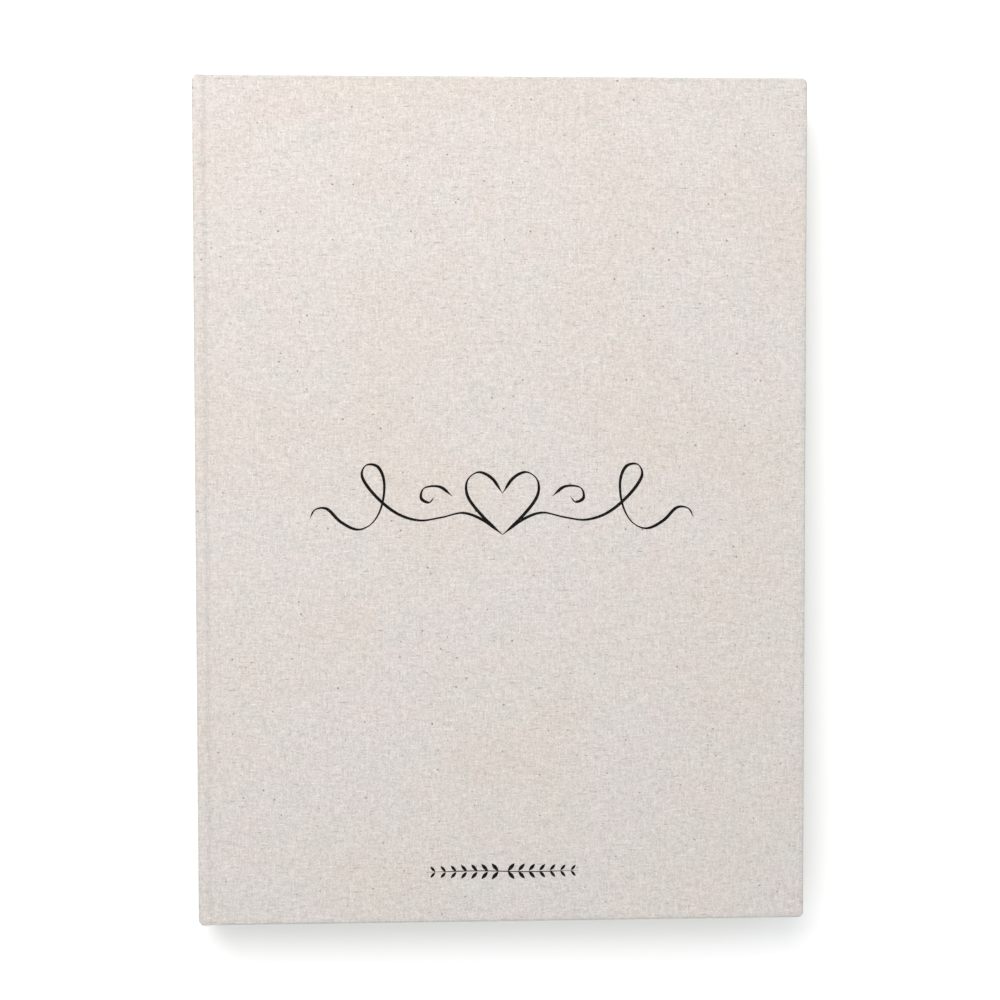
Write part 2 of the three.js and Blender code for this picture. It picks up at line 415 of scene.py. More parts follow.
def paint(obj, name, rule):
    """Writes a number for each point of a mesh, by a rule of its place."""
    layer = obj.data.attributes.new(name, "FLOAT", "POINT")
    layer.data.foreach_set("value", [rule(vertex.co) for vertex in obj.data.vertices])


def set_material(obj, material):
    """Makes this the only material of an object."""
    obj.data.materials.clear()
    obj.data.materials.append(material)


def finish_piece(obj, material, body, replaced):
    """Gives a finished piece its material and body."""
    set_material(obj, material)
    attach(obj, body)
    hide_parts(*replaced)


def finish_bending_piece(obj, material, replaced):
    """Gives a piece that lies across the joint between two bodies its material, and bakes its place into its
    mesh; it is given no body.
    """
    set_material(obj, material)
    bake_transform(obj)
    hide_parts(*replaced)


def bend_across_gutter(obj, material, replaced):
    """Finishes a piece that lies across the gutter, as finish_bending_piece does; nothing here makes it bend
    as the block opens.
    """
    finish_bending_piece(obj, material, replaced)


def ease(value):
    """Smooth step from 0 to 1."""
    value = min(max(value, 0.0), 1.0)
    return value * value * (3 - 2 * value)


def evenly(start, end, steps):
    """Numbers from start to end in equal steps, both ends included."""
    return [start + (end - start) * step / steps for step in range(steps + 1)]


# ---------------------------------------------------------------- shader tools


class Wiring:
    """Adds nodes to a node tree and links them."""

    def __init__(self, tree):
        self.tree = tree

    def add(self, kind, inputs=None, **settings):
        """A node with these settings. inputs maps a socket to a value or to another socket."""
        node = self.tree.nodes.new(kind)
        for name, value in settings.items():
            setattr(node, name, value)
        for socket, value in (inputs or {}).items():
            self.feed(node.inputs[socket], value)
        return node

    def feed(self, socket, value):
        """Links a socket, or sets its value."""
        if isinstance(value, bpy.types.NodeSocket):
            self.tree.links.new(value, socket)
        else:
            socket.default_value = value

    def math(self, operation, first, second=0.0, third=0.0):
        """The result of a Math node."""
        node = self.add("ShaderNodeMath", {0: first, 1: second, 2: third}, operation=operation)
        return node.outputs[0]

    def times(self, first, second, plus=None):
        """A product, with a third value added to it if one is given."""
        if plus is None:
            return self.math("MULTIPLY", first, second)
        return self.math("MULTIPLY_ADD", first, second, plus)

    def vector(self, x, y, z=0.0):
        """A vector from three numbers or sockets."""
        return self.add("ShaderNodeCombineXYZ", {0: x, 1: y, 2: z}).outputs[0]

    def stretched(self, vector, shares):
        """A vector with each of its parts multiplied by its own share."""
        return self.add("ShaderNodeVectorMath", {0: vector, 1: shares}, operation="MULTIPLY").outputs[0]

    def parts(self, vector):
        """The x, y and z of a vector."""
        return self.add("ShaderNodeSeparateXYZ", {0: vector}).outputs

    def noise(self, vector, scale=1.0, detail=2.0, roughness=0.5):
        """A noise value, about 0.5."""
        inputs = {"Vector": vector, "Scale": scale, "Detail": detail, "Roughness": roughness}
        return self.add("ShaderNodeTexNoise", inputs).outputs[0]

    def ramp(self, value, low, high, out_low=0.0, out_high=1.0):
        """A smooth step of a value from low to high."""
        inputs = {0: value, 1: low, 2: high, 3: out_low, 4: out_high}
        node = self.add("ShaderNodeMapRange", inputs, interpolation_type="SMOOTHSTEP")
        return node.outputs[0]

    def mix(self, factor, first, second, blend="MIX"):
        """A mix of two colours."""
        inputs = {0: factor, 6: first, 7: second}
        node = self.add("ShaderNodeMix", inputs, data_type="RGBA", blend_type=blend)
        return node.outputs[2]

    def group(self, name, inputs):
        """The outputs of one of the shared node groups."""
        return self.add("ShaderNodeGroup", inputs, node_tree=shared_groups()[name]).outputs

    def place(self):
        """The place on the piece, in metres."""
        return self.add("ShaderNodeTexCoord").outputs["Object"]

    def painted(self, name):
        """A number that is painted on the points of the piece."""
        return self.add("ShaderNodeAttribute", attribute_name=name).outputs["Fac"]


def opaque(colour):
    """A colour with alpha 1."""
    return (*colour, 1.0)


def new_group(name, inputs, outputs):
    """An empty shader node group. inputs and outputs map the name of each socket to its kind."""
    group = bpy.data.node_groups.new(name, "ShaderNodeTree")
    for way, sockets in (("INPUT", inputs), ("OUTPUT", outputs)):
        for label, kind in sockets.items():
            group.interface.new_socket(name=label, in_out=way, socket_type=f"NodeSocket{kind}")
    wiring = Wiring(group)
    return wiring, wiring.add("NodeGroupInput").outputs, wiring.add("NodeGroupOutput").inputs


# How round a yarn is, how high, how far it lifts over the next, and how its tone varies across and along
YARN_ROUNDNESS = 0.6
YARN_HEIGHT = 0.58
YARN_LIFT = 0.42
YARN_TONE_STEP = 7.31
YARN_TONE_RUN = 0.14


def weave_group():
    """Plain weave of uneven yarn. Its vector is in metres along the cloth."""
    w, given, out = new_group(
        "Plain Weave",
        {"Vector": "Vector", "Pitch": "Float", "Unevenness": "Float"},
        {"Height": "Float", "Yarn Tone": "Float", "Hollow": "Float"},
    )
    place = w.parts(given["Vector"])
    across = w.math("DIVIDE", place[0], given["Pitch"])
    along = w.math("DIVIDE", place[1], given["Pitch"])

    def wandering(yarn, across_share, along_share, depth):
        vector = w.vector(w.times(across, across_share), w.times(along, along_share), depth)
        return w.times(w.math("SUBTRACT", w.noise(vector), 0.5), given["Unevenness"], yarn)

    def rounded(wave):
        return w.times(w.math("POWER", w.math("ABSOLUTE", wave), YARN_ROUNDNESS), YARN_HEIGHT)

    warp = wandering(across, 0.4, 0.05, 0.0)
    weft = wandering(along, 0.05, 0.4, 7.0)
    warp_wave = w.math("SINE", w.times(warp, math.pi))
    weft_wave = w.math("SINE", w.times(weft, math.pi))
    lift = w.times(w.times(warp_wave, weft_wave), YARN_LIFT)
    warp_height = w.math("ADD", rounded(warp_wave), lift)
    weft_height = w.math("SUBTRACT", rounded(weft_wave), lift)
    height = w.math("MAXIMUM", warp_height, weft_height)
    warp_count = w.times(w.math("FLOOR", warp), YARN_TONE_STEP)
    weft_count = w.times(w.math("FLOOR", weft), YARN_TONE_STEP)
    warp_tone = w.noise(w.vector(warp_count, w.times(along, YARN_TONE_RUN)), detail=1.0)
    weft_tone = w.noise(w.vector(w.times(across, YARN_TONE_RUN), weft_count, 3.0), detail=1.0)
    warp_over = w.math("GREATER_THAN", warp_height, weft_height)
    tone = w.add("ShaderNodeMix", {0: warp_over, 2: weft_tone, 3: warp_tone}, data_type="FLOAT").outputs[0]
    w.feed(out["Height"], height)
    w.feed(out["Yarn Tone"], tone)
    w.feed(out["Hollow"], w.ramp(height, 0.62, 0.15))


# Clouds of tint on the linen: depth in the noise, scale, detail, start, end, strength and tint
LINEN_CLOUDS = (
    (0.0, 17, 3.0, 0.42, 0.64, 0.62, (1.0, 0.985, 0.925, 1)),
    (0.4, 95, 2.0, 0.50, 0.68, 0.55, (0.955, 0.995, 0.985, 1)),
    (0.9, 60, 2.0, 0.48, 0.68, 0.50, (1.02, 0.975, 0.975, 1)),
)
# Slubs in the yarn: density across and along, depth in the noise, start and end
WEFT_SLUBS = (300, 1500, 0.0, 0.635, 0.73)
WARP_SLUBS = (1500, 260, 5.0, 0.655, 0.74)
PALE_SLUBS = (260, 1300, 9.0, 0.66, 0.76)
PALE_SLUB = (0.86, 0.82, 0.78, 1)
# Bark flecks: cells to the metre, the spread and the least of their size in cells, and the share without one
FLECK_SCALE = 300.0
FLECK_SPREAD = 0.11
FLECK_LEAST = 0.055
FLECK_RARITY = 0.50


def linen_group():
    """Natural linen: tinted clouds, slubs along the yarn and bark flecks, over the plain weave, with painted
    shade in its hollows.
    """
    w, given, out = new_group(
        "Natural Linen",
        {"Vector": "Vector", "Pitch": "Float", "Linen": "Color", "Fleck": "Color"},
        {"Color": "Color", "Height": "Float", "Hollow": "Float"},
    )
    vector = given["Vector"]
    cloth = w.group("Plain Weave", {"Vector": vector, "Pitch": given["Pitch"], "Unevenness": 1.5})
    place = w.parts(vector)

    def slubs(across, along, depth, start, end):
        streaks = w.vector(w.times(place[0], across), w.times(place[1], along), depth)
        return w.ramp(w.noise(streaks, detail=2.5), start, end)

    base = given["Linen"]
    for depth, scale, detail, start, end, strength, tint in LINEN_CLOUDS:
        cloud = w.ramp(w.noise(w.vector(place[0], place[1], depth), scale=scale, detail=detail), start, end)
        base = w.mix(w.times(cloud, strength), base, tint, "MULTIPLY")
    mottle = w.noise(vector, scale=620, detail=2.0, roughness=0.6)
    fine = w.noise(w.vector(place[0], place[1], 0.2), scale=1500, detail=1.0)
    grain = w.math("ADD", w.times(mottle, 0.38, 0.36), w.times(fine, 0.46))
    grain = w.times(cloth["Yarn Tone"], 0.48, grain)
    # Painted shade in the hollows of the weave, taken off the yarn's own grain tone
    shade = w.math("SUBTRACT", grain, w.times(cloth["Hollow"], 0.10))
    base = w.mix(1.0, base, shade, "MULTIPLY")
    weft_slubs = slubs(*WEFT_SLUBS)
    base = w.mix(w.times(weft_slubs, 0.42), base, given["Fleck"])
    base = w.mix(w.times(slubs(*WARP_SLUBS), 0.28), base, given["Fleck"])
    base = w.mix(w.times(slubs(*PALE_SLUBS), 0.35), base, PALE_SLUB)
    cells = w.add("ShaderNodeTexVoronoi", {"Vector": vector, "Scale": FLECK_SCALE, "Randomness": 1.0})
    chance = w.add("ShaderNodeSeparateColor", {0: cells.outputs["Color"]}).outputs
    reach = w.times(chance[1], FLECK_SPREAD, FLECK_LEAST)
    spot = w.ramp(cells.outputs["Distance"], reach, w.times(reach, 0.35))
    spot = w.times(spot, w.math("GREATER_THAN", chance[0], FLECK_RARITY))
    w.feed(out["Color"], w.mix(w.times(spot, 0.80), base, given["Fleck"]))
    w.feed(out["Height"], w.times(mottle, 0.6, w.times(weft_slubs, 0.5, cloth["Height"])))
    w.feed(out["Hollow"], cloth["Hollow"])


def fibre_group():
    """Felt of fibres for papers and boards: a cloudy tone, single fibres and a height."""
    w, given, out = new_group(
        "Paper Fibre",
        {"Vector": "Vector", "Fibre Scale": "Float"},
        {"Tone": "Float", "Fibres": "Float", "Height": "Float"},
    )
    vector = given["Vector"]
    scale = given["Fibre Scale"]
    cloud = w.noise(vector, scale=90, detail=4.0, roughness=0.6)
    felt = w.noise(w.stretched(vector, (1.0, 2.6, 2.6)), scale=scale, detail=4.0, roughness=0.7)
    strands = w.noise(w.stretched(vector, (3.1, 0.9, 3.1)), scale=scale, detail=2.0, roughness=0.5)
    w.feed(out["Tone"], w.times(cloud, 0.7, w.times(felt, 0.3)))
    w.feed(out["Fibres"], w.ramp(strands, 0.66, 0.78))
    w.feed(out["Height"], felt)


def shared_groups():
    """The node groups that several materials use, made once."""
    if "Plain Weave" not in bpy.data.node_groups:
        weave_group()
        linen_group()
        fibre_group()
    return bpy.data.node_groups


def new_material(name):
    """A material with an empty Principled shader. Returns it with its wiring and shader."""
    material = bpy.data.materials.new(name)
    material.use_nodes = True
    wiring = Wiring(material.node_tree)
    shader = material.node_tree.nodes["Principled BSDF"]
    return material, wiring, shader


def set_surface(w, shader, base, roughness, height, depth, strength, even=None):
    """Feeds a shader its colour, roughness and bump. even holds what is the same all over."""
    bump = w.add("ShaderNodeBump", {"Strength": strength, "Distance": depth, "Height": height})
    fed = {"Base Color": base, "Roughness": roughness, "Normal": bump.outputs[0], **(even or {})}
    for socket, value in fed.items():
        w.feed(shader.inputs[socket], value)


def linen_on_cloth(w, case):
    """The flat map of the cloth, and the linen on it."""
    flat = w.add("ShaderNodeUVMap", uv_map="Cloth").outputs[0]
    colours = {"Linen": opaque(case.linen), "Fleck": opaque(case.fleck)}
    return flat, w.group("Natural Linen", {"Vector": flat, "Pitch": case.thread_pitch, **colours})


def linen_material(case):
    """Oatmeal linen book cloth, painted a little darker and greener, and made smoother, along its rounded
    edges.
    """
    material, w, shader = new_material("book_linen")
    flat, linen = linen_on_cloth(w, case)
    # Painted darker and greener, in patches, where the edge darkening mask is high along the rounded edges;
    # the cloth is smoother there too
    edge_darkening_patches = w.times(w.painted("edge_darkening"), w.ramp(w.noise(flat, scale=420, detail=3.0), 0.35, 0.7, 0.35, 1.0))
    colour = w.mix(w.times(edge_darkening_patches, 0.80), linen["Color"], (0.76, 0.83, 0.82, 1), "MULTIPLY")
    roughness = w.math("SUBTRACT", 0.93, w.times(edge_darkening_patches, 0.12))
    even = {"Specular IOR Level": 0.25, "Sheen Weight": 0.12, "Sheen Roughness": 0.6}
    set_surface(w, shader, colour, roughness, linen["Height"], 0.10 * MM, 0.55, even)
    return material


def ink_material(case, ornament):
    """Flat black ink on linen: thin in the hollows of the weave, where the cloth shows through."""
    material, w, shader = new_material("printed_ink")
    flat, linen = linen_on_cloth(w, case)
    starved = w.ramp(w.noise(flat, scale=900, detail=2.0), 0.52, 0.72)
    bare = w.times(linen["Hollow"], starved)
    colour = w.mix(w.times(bare, 0.22), opaque(ornament.ink), linen["Color"])
    roughness = w.times(starved, 0.1, 0.85)
    set_surface(w, shader, colour, roughness, linen["Height"], 0.08 * MM, 0.5, {"Specular IOR Level": 0.1})
    return material


def paper_material(name, colour, edge_colour):
    """Uncoated paper. The leaf tone tells one leaf from the next along the cut edges."""
    material, w, shader = new_material(name)
    fibre = w.group("Paper Fibre", {"Vector": w.place(), "Fibre Scale": 900.0})
    base = w.mix(1.0, opaque(colour), w.times(fibre["Tone"], 0.06, 0.97), "MULTIPLY")
    base = w.mix(w.times(fibre["Fibres"], 0.10), base, opaque(edge_colour))
    edge = w.times(w.painted("leaf_tone"), w.painted("cut_edge"))
    base = w.mix(w.times(edge, 0.75), base, opaque(edge_colour))
    roughness = w.times(fibre["Height"], 0.10, 0.80)
    set_surface(w, shader, base, roughness, fibre["Height"], 0.03 * MM, 0.4, {"Specular IOR Level": 0.3})
    return material


def pulp_material(name, scale, dark, pale, strand, strand_share, roughness, depth):
    """Coarse pulp, dark to pale in patches, with strands of another colour."""
    material, w, shader = new_material(name)
    fibre = w.group("Paper Fibre", {"Vector": w.place(), "Fibre Scale": scale})
    base = w.mix(fibre["Tone"], dark, pale)
    base = w.mix(w.times(fibre["Fibres"], strand_share), base, strand)
    set_surface(w, shader, base, w.times(fibre["Tone"], 0.1, roughness), fibre["Height"], depth, 0.6)
    return material


def greyboard_material():
    """Pressed grey board with recycled specks."""
    dark, pale, speck = (0.30, 0.285, 0.26, 1), (0.40, 0.385, 0.35, 1), (0.16, 0.15, 0.14, 1)
    return pulp_material("grey_board", 500.0, dark, pale, speck, 0.5, 0.85, 0.08 * MM)


def kraft_material():
    """Brown kraft paper with dark fibres."""
    dark, pale, strand = (0.33, 0.20, 0.10, 1), (0.50, 0.33, 0.19, 1), (0.22, 0.13, 0.07, 1)
    return pulp_material("kraft_paper", 700.0, dark, pale, strand, 0.4, 0.78, 0.03 * MM)


# Bleached cotton of the tapes and the mull, and the distance between their threads
TAPE_COTTON = (0.74, 0.69, 0.58, 1)
MULL_COTTON = (0.78, 0.74, 0.65, 1)
TAPE_PITCH = 0.4 * MM
MULL_PITCH = 1.1 * MM


def woven_material(name, pale, dark, pitch, plane):
    """Woven cotton on a strip that lies in the plane of two axes, named by their letters, with painted shade
    in the hollows of the weave.
    """
    material, w, shader = new_material(name)
    place = w.parts(w.place())
    first, second = ("XYZ".index(letter) for letter in plane)
    vector = w.vector(place[first], place[second])
    weave = w.group("Plain Weave", {"Vector": vector, "Pitch": pitch, "Unevenness": 0.6})
    base = w.mix(weave["Yarn Tone"], dark, pale)
    # Painted shade: the hollows of the weave are pulled towards the dark colour
    base = w.mix(w.times(weave["Hollow"], 0.5), base, dark)
    roughness = w.times(weave["Hollow"], 0.1, 0.85)
    set_surface(w, shader, base, roughness, weave["Height"], pitch * 0.25, 0.7, {"Sheen Weight": 0.1})
    return material


def band_material():
    """Silk-covered bead: pale turns with painted shade in the grooves between them."""
    material, w, shader = new_material("band_silk")
    turns = w.painted("silk_turn")
    lustre = w.noise(w.place(), scale=1800, detail=2.0)
    # Painted shade: darker between the turns of silk, where the bead's grooves are, and pale on the turns
    base = w.mix(turns, (0.50, 0.43, 0.36, 1), (0.83, 0.79, 0.72, 1))
    base = w.mix(1.0, base, w.times(lustre, 0.2, 0.9), "MULTIPLY")
    set_surface(w, shader, base, w.times(turns, -0.15, 0.6), lustre, 0.03 * MM, 0.5)
    return material


def thread_material():
    """Waxed linen thread, twisted, with painted shade in the grooves of the twist."""
    material, w, shader = new_material("waxed_thread")
    wave = {"Vector": w.stretched(w.place(), (2.0, 1.0, 2.0)), "Scale": 420.0, "Distortion": 1.5}
    twist = w.add("ShaderNodeTexWave", wave, bands_direction="DIAGONAL").outputs["Fac"]
    # Painted shade: darker in the low grooves of the twist, paler on its ridges
    base = w.mix(twist, (0.56, 0.50, 0.40, 1), (0.80, 0.75, 0.66, 1))
    set_surface(w, shader, base, w.times(twist, 0.15, 0.5), twist, 0.05 * MM, 0.8)
    return material


# ---------------------------------------------------------------- the linen case

# Steps of the cloth over a quarter turn at the spine, across the groove and the board, along the fore-edge
# and round a corner
BEND_STEPS = 5
GROOVE_STEPS = 14
BOARD_STEPS = 24
FORE_EDGE_STEPS = 40
CORNER_STEPS = 6
# Where the turned-in cloth steps up beside a board, from the edge of the board
STEP_START = 0.1 * MM
STEP_END = 0.3 * MM
STEP_CLEAR = 0.8 * MM
# Phases of the wrap at a rim: below 0 on the outer face, 0 to 1 round the edge, 1 to 2 along the turn-in
WRAP_PHASES = (-0.66, -0.33, *(phase / 8 for phase in range(9)), 1.08, 1.3, 1.65, 2.0)


def cloth_stations(case):
    """Stations of the back cloth from the middle of the spine to near the fore-edge.

    Each is (outer x, outer z, turned-in x, turned-in z, edge darkening), on the middle of the cloth's
    thickness.
    """
    half = HALF_CLOTH
    outer_x = SPINE_LOW.x + half
    inner_x = SPINE_HIGH.x - half
    low_z = CLOTH_LOW.z + half
    bend = case.edge_round
    fold = 2 * half
    arm_z = low_z + fold
    turned_z = CLOTH_HIGH.z - half
    stations = [(outer_x, z, inner_x, z, 0.0) for z in evenly(MIDDLE, low_z + bend, 6)]
    # The cloth is painted darker round the middle of the spine's bend
    for turn in evenly(0, math.pi / 2, BEND_STEPS)[1:]:
        x = outer_x + bend * (1 - math.cos(turn))
        z = low_z + bend * (1 - math.sin(turn))
        stations.append((x, z, inner_x, max(z, arm_z), math.sin(2 * turn)))
    for x in evenly(outer_x + bend, GROOVE_LOW.x, 3)[1:]:
        stations.append((x, low_z, max(x, inner_x), arm_z, 0.0))
    width = GROOVE_HIGH.x - GROOVE_LOW.x
    for part in evenly(0, 1, GROOVE_STEPS)[1:]:
        dip = case.groove_depth * (0.5 - 0.5 * math.cos(2 * math.pi * part))
        x = GROOVE_LOW.x + part * width
        stations.append((x, low_z + dip, min(x, BOARD_LOW.x - half), low_z + dip + fold, 0.0))
    near = BOARD_LOW.x
    # The cloth is painted a little darker where it meets the near edge of the board
    stations.append((near + STEP_START, low_z, near - half, (low_z + turned_z) / 2, 0.3))
    stations.append((near + STEP_END, low_z, near - half / 2, turned_z, 0.2))
    edge_x = CLOTH_HIGH.x - half - case.corner_round
    for x in evenly(near + STEP_CLEAR, edge_x, BOARD_STEPS):
        stations.append((x, low_z, x, turned_z, 0.0))
    return stations


def outline_of(case, stations):
    """The rim of the outer face, from the tail of the spine round the fore-edge to its head.

    Each entry is (kind, value): a station at the tail or head, an angle at a corner, or a y at the fore-edge.
    """
    reach = CLOTH_HIGH.y - HALF_CLOTH - case.corner_round
    rows = evenly(-reach, reach, FORE_EDGE_STEPS)
    last = len(stations) - 1
    tail = [("tail", index) for index in range(last + 1)]
    head = [("head", index) for index in range(last, -1, -1)]
    steps = [math.radians(90 * step / CORNER_STEPS) for step in range(1, CORNER_STEPS)]
    low_corner = [("corner", angle - math.pi / 2) for angle in steps]
    high_corner = [("corner", angle) for angle in steps]
    return tail + low_corner + [("edge", y) for y in rows] + high_corner + head, rows


def rim_point(case, stations, entry, phase):
    """Place of a rim point at a phase of the wrap."""
    edge_x = CLOTH_HIGH.x - HALF_CLOTH
    edge_y = CLOTH_HIGH.y - HALF_CLOTH
    kind, value = entry
    last = stations[-1]
    outer_x, outer_z, inner_x, inner_z, _ = stations[value] if kind in ("tail", "head") else last
    span = math.hypot(inner_x - outer_x, inner_z - outer_z)
    bend = min(case.edge_round, span / 2)
    if phase < 0:
        inset = bend - (case.corner_round - bend) * phase
        depth = 0
    elif phase <= 1:
        turn = math.pi * phase
        inset = bend * (1 - math.sin(turn))
        depth = bend * (1 - math.cos(turn)) if phase <= 0.5 else span - bend * (1 + math.cos(turn))
    else:
        inset = bend + (case.turn_in - bend) * (phase - 1)
        depth = span
    share = depth / span
    x = outer_x + (inner_x - outer_x) * share
    z = outer_z + (inner_z - outer_z) * share
    radius = case.corner_round - inset
    limit_x = edge_x - inset if radius < 0 else edge_x
    limit_y = edge_y - inset if radius < 0 else edge_y
    if kind == "tail":
        return Vector((min(x, limit_x), -(edge_y - inset), z))
    if kind == "head":
        return Vector((min(x, limit_x), edge_y - inset, z))
    if kind == "edge":
        return Vector((edge_x - inset, max(min(value, limit_y), -limit_y), z))
    side = 1 if value > 0 else -1
    if radius < 0:
        return Vector((edge_x - inset, side * (edge_y - inset), z))
    centre = Vector((edge_x - case.corner_round, side * (edge_y - case.corner_round), z))
    return centre + Vector((math.cos(value), math.sin(value), 0)) * radius


def rim_direction(entry):
    """Which way the flat cloth runs outwards at a rim point."""
    kind, value = entry
    if kind == "tail":
        return Vector((0, -1))
    if kind == "head":
        return Vector((0, 1))
    if kind == "edge":
        return Vector((1, 0))
    return Vector((math.cos(value), math.sin(value)))


def round_spine_corners(case, mesh):
    """Rounds the corners of the spine, seen from above, as the corners at the fore-edge are."""
    radius = case.corner_round
    centre_x = SPINE_LOW.x + HALF_CLOTH + radius
    centre_y = CLOTH_HIGH.y - HALF_CLOTH - radius
    for vertex in mesh.verts:
        across = centre_x - vertex.co.x
        along = abs(vertex.co.y) - centre_y
        if across > 0 and along > 0:
            shrink = max(across, along) / math.hypot(across, along)
            vertex.co.x = centre_x - across * shrink
            vertex.co.y = math.copysign(centre_y + along * shrink, vertex.co.y)


def half_case_sheet(case, name):
    """The back half of the cover cloth as a sheet: the flat cut, wrapped over board, groove and spine."""
    stations = cloth_stations(case)
    outline, rows = outline_of(case, stations)
    mesh = bmesh.new()
    cloth_map = mesh.loops.layers.uv.new("Cloth")
    edge_darkening_layer = mesh.verts.layers.float.new("edge_darkening")
    flat = {}
    edge_darkening = {}
    run = [0.0]
    for before, after in zip(stations, stations[1:]):
        run.append(run[-1] + math.hypot(after[0] - before[0], after[1] - before[1]))
    grid = []
    for index, (x, z, _, _, station_darkening) in enumerate(stations):
        column = []
        for y in rows:
            vertex = mesh.verts.new((x, y, z))
            flat[vertex] = Vector((run[index], y))
            edge_darkening[vertex] = station_darkening
            column.append(vertex)
        grid.append(column)
    for first, second in zip(grid, grid[1:]):
        for row in range(len(rows) - 1):
            mesh.faces.new((first[row], first[row + 1], second[row + 1], second[row]))
    ring = []
    for kind, value in outline:
        if kind == "tail":
            ring.append(grid[value][0])
        elif kind == "head":
            ring.append(grid[value][-1])
        elif kind == "edge":
            ring.append(grid[-1][rows.index(value)])
        else:
            ring.append(grid[-1][-1 if value > 0 else 0])
    for phase in WRAP_PHASES:
        outer = []
        for entry, inner in zip(outline, ring):
            vertex = mesh.verts.new(rim_point(case, stations, entry, phase))
            flat[vertex] = flat[inner] + rim_direction(entry) * (vertex.co - inner.co).length
            # The cloth is painted darker round the edge of each board, most half way round the wrap, and not
            # on the turn-in
            edge_darkening[vertex] = math.sin(math.pi * min(max(phase, 0.04), 1.0)) ** 0.5 if phase < 1 else 0.0
            outer.append(vertex)
        for index in range(len(outline) - 1):
            loop = (ring[index], outer[index], outer[index + 1], ring[index + 1])
            corner_list = [v for i, v in enumerate(loop) if v not in loop[:i]]
            mesh.faces.new(corner_list)
        ring = outer
    round_spine_corners(case, mesh)
    for face in mesh.faces:
        for loop in face.loops:
            loop[cloth_map].uv = flat[loop.vert]
    for vertex in mesh.verts:
        vertex[edge_darkening_layer] = edge_darkening[vertex]
    return object_from(mesh, name)


def mirror_cloth_map(obj):
    """Runs the flat cloth on past the middle of the spine, for the back half."""
    for loop in obj.data.uv_layers["Cloth"].data:
        loop.uv.x = -loop.uv.x
        loop.uv.y = -loop.uv.y


class GUESTBOOK_OT_case_cloth(bpy.types.Operator):
    """Wrap the linen round the boards, grooves and spine, in two halves that meet on the spine"""

    bl_idname = "guestbook.case_cloth"
    bl_label = "Case cloth"

    def execute(self, context):
        case = context.scene.guest_book_case
        material = linen_material(case)
        for side, cover in (("back", "back_case"), ("front", "front_cover")):
            obj = half_case_sheet(case, f"{side}_case_linen")
            thicken(obj, case.cloth_gauge)
            if side == "front":
                turn_over(obj)
            else:
                mirror_cloth_map(obj)
            smooth(obj, 50)
            replaced = [f"{side}_cover_cloth", f"{side}_joint_cloth"]
            if side == "back":
                replaced.append("spine_cloth")
            finish_bending_piece(
                obj, material, replaced
            )
        return {"FINISHED"}


class GUESTBOOK_OT_boards(bpy.types.Operator):
    """Finish the grey boards, the tape ends and the mull flaps that lie hidden in the case"""

    bl_idname = "guestbook.boards"
    bl_label = "Boards"

    def execute(self, context):
        board = greyboard_material()
        tape = woven_material("tape_cotton", TAPE_COTTON, (0.52, 0.47, 0.38, 1), TAPE_PITCH, "XY")
        gauze = woven_material("mull_flap_gauze", MULL_COTTON, (0.45, 0.41, 0.34, 1), MULL_PITCH, "XY")
        for name, node in frame["nodes"].items():
            for kind, material in (("_board", board), ("_tape_end_", tape), ("_mull_flap", gauze)):
                if kind in name:
                    set_material(node, material)
        return {"FINISHED"}


# ---------------------------------------------------------------- endpapers and pages

FOLD_STEPS = 6
# Stations closer than this are left out
LEAST_STEP = 0.1 * MM
# Width of the painted cut edge, and of the last step of a leaf before it
CUT_EDGE = 0.4 * MM
EDGE_STEP = 0.5 * MM
# Length of leaf that is left straight before its fold
FOLD_ROOM = 1 * MM
# Distance by which the pages stop short of their node at head and tail, and the uneven trim at the fore-edge
HEAD_TRIM = 0.03 * MM
LEAST_TRIM = 0.02
MOST_TRIM = 0.14
# A gathered fold starts to close this far in, nearly meets this close to its line, and its folds lie this
# share of the pitch apart
SHOULDER = 0.9 * MM
POINT_LENGTH = 0.12 * MM
GATHER_STEP = 0.3


def tape_centres():
    """Middle of each tape along the spine."""
    boxes = [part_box(f"tape_{index + 1}") for index in range(TAPE_COUNT)]
    return [(low[1] + high[1]) / 2 for low, high in boxes]


def climb_lines(case):
    """Where a pastedown is half way up: turn-in in x and y, mull in x, and half the width of a tape."""
    tape_low, tape_high = corners("tape_1")
    turn_in_x = CLOTH_HIGH.x - case.turn_in - CLIMB_MARGIN
    turn_in_y = CLOTH_HIGH.y - case.turn_in - CLIMB_MARGIN
    half_tape = (tape_high.y - tape_low.y) / 2 + CLIMB_MARGIN
    return turn_in_x, turn_in_y, MULL_FLAP_HIGH.x + CLIMB_MARGIN, half_tape


def pastedown_height(case, x, y):
    """Height of the pastedown's middle: it lies on the turn-ins, the mull and tapes, and on bare board."""
    climb_x, climb_y, mull_x, half_tape = climb_lines(case)
    on_turn_in = max(ease((abs(y) - climb_y) / CLIMB + 0.5), ease((x - climb_x) / CLIMB + 0.5))
    on_mull = ease((mull_x - x) / CLIMB + 0.5)
    gap = min(abs(y - centre) for centre in tape_centres())
    on_tape = on_mull * ease((half_tape - gap) / CLIMB + 0.5)
    lifted = max(on_turn_in, on_tape, MULL_LIFT * on_mull)
    return PASTE_BARE + (PASTE_TOP - PASTE_BARE) * lifted


def stations_across_head(case):
    """Y stations of the pastedown, close together where it steps."""
    reach = PASTE_HIGH.y
    _, climb_y, _, half_tape = climb_lines(case)
    marks = {-reach, reach}
    for middle in [-climb_y, climb_y] + [c + s * half_tape for c in tape_centres() for s in (-1, 1)]:
        marks.update((middle - CLIMB / 2, middle, middle + CLIMB / 2))
    marks.update(evenly(-reach, reach, 24))
    ordered = sorted(marks)
    kept = [ordered[0]]
    for mark in ordered[1:]:
        if mark - kept[-1] > LEAST_STEP:
            kept.append(mark)
    kept[-1] = reach
    return kept


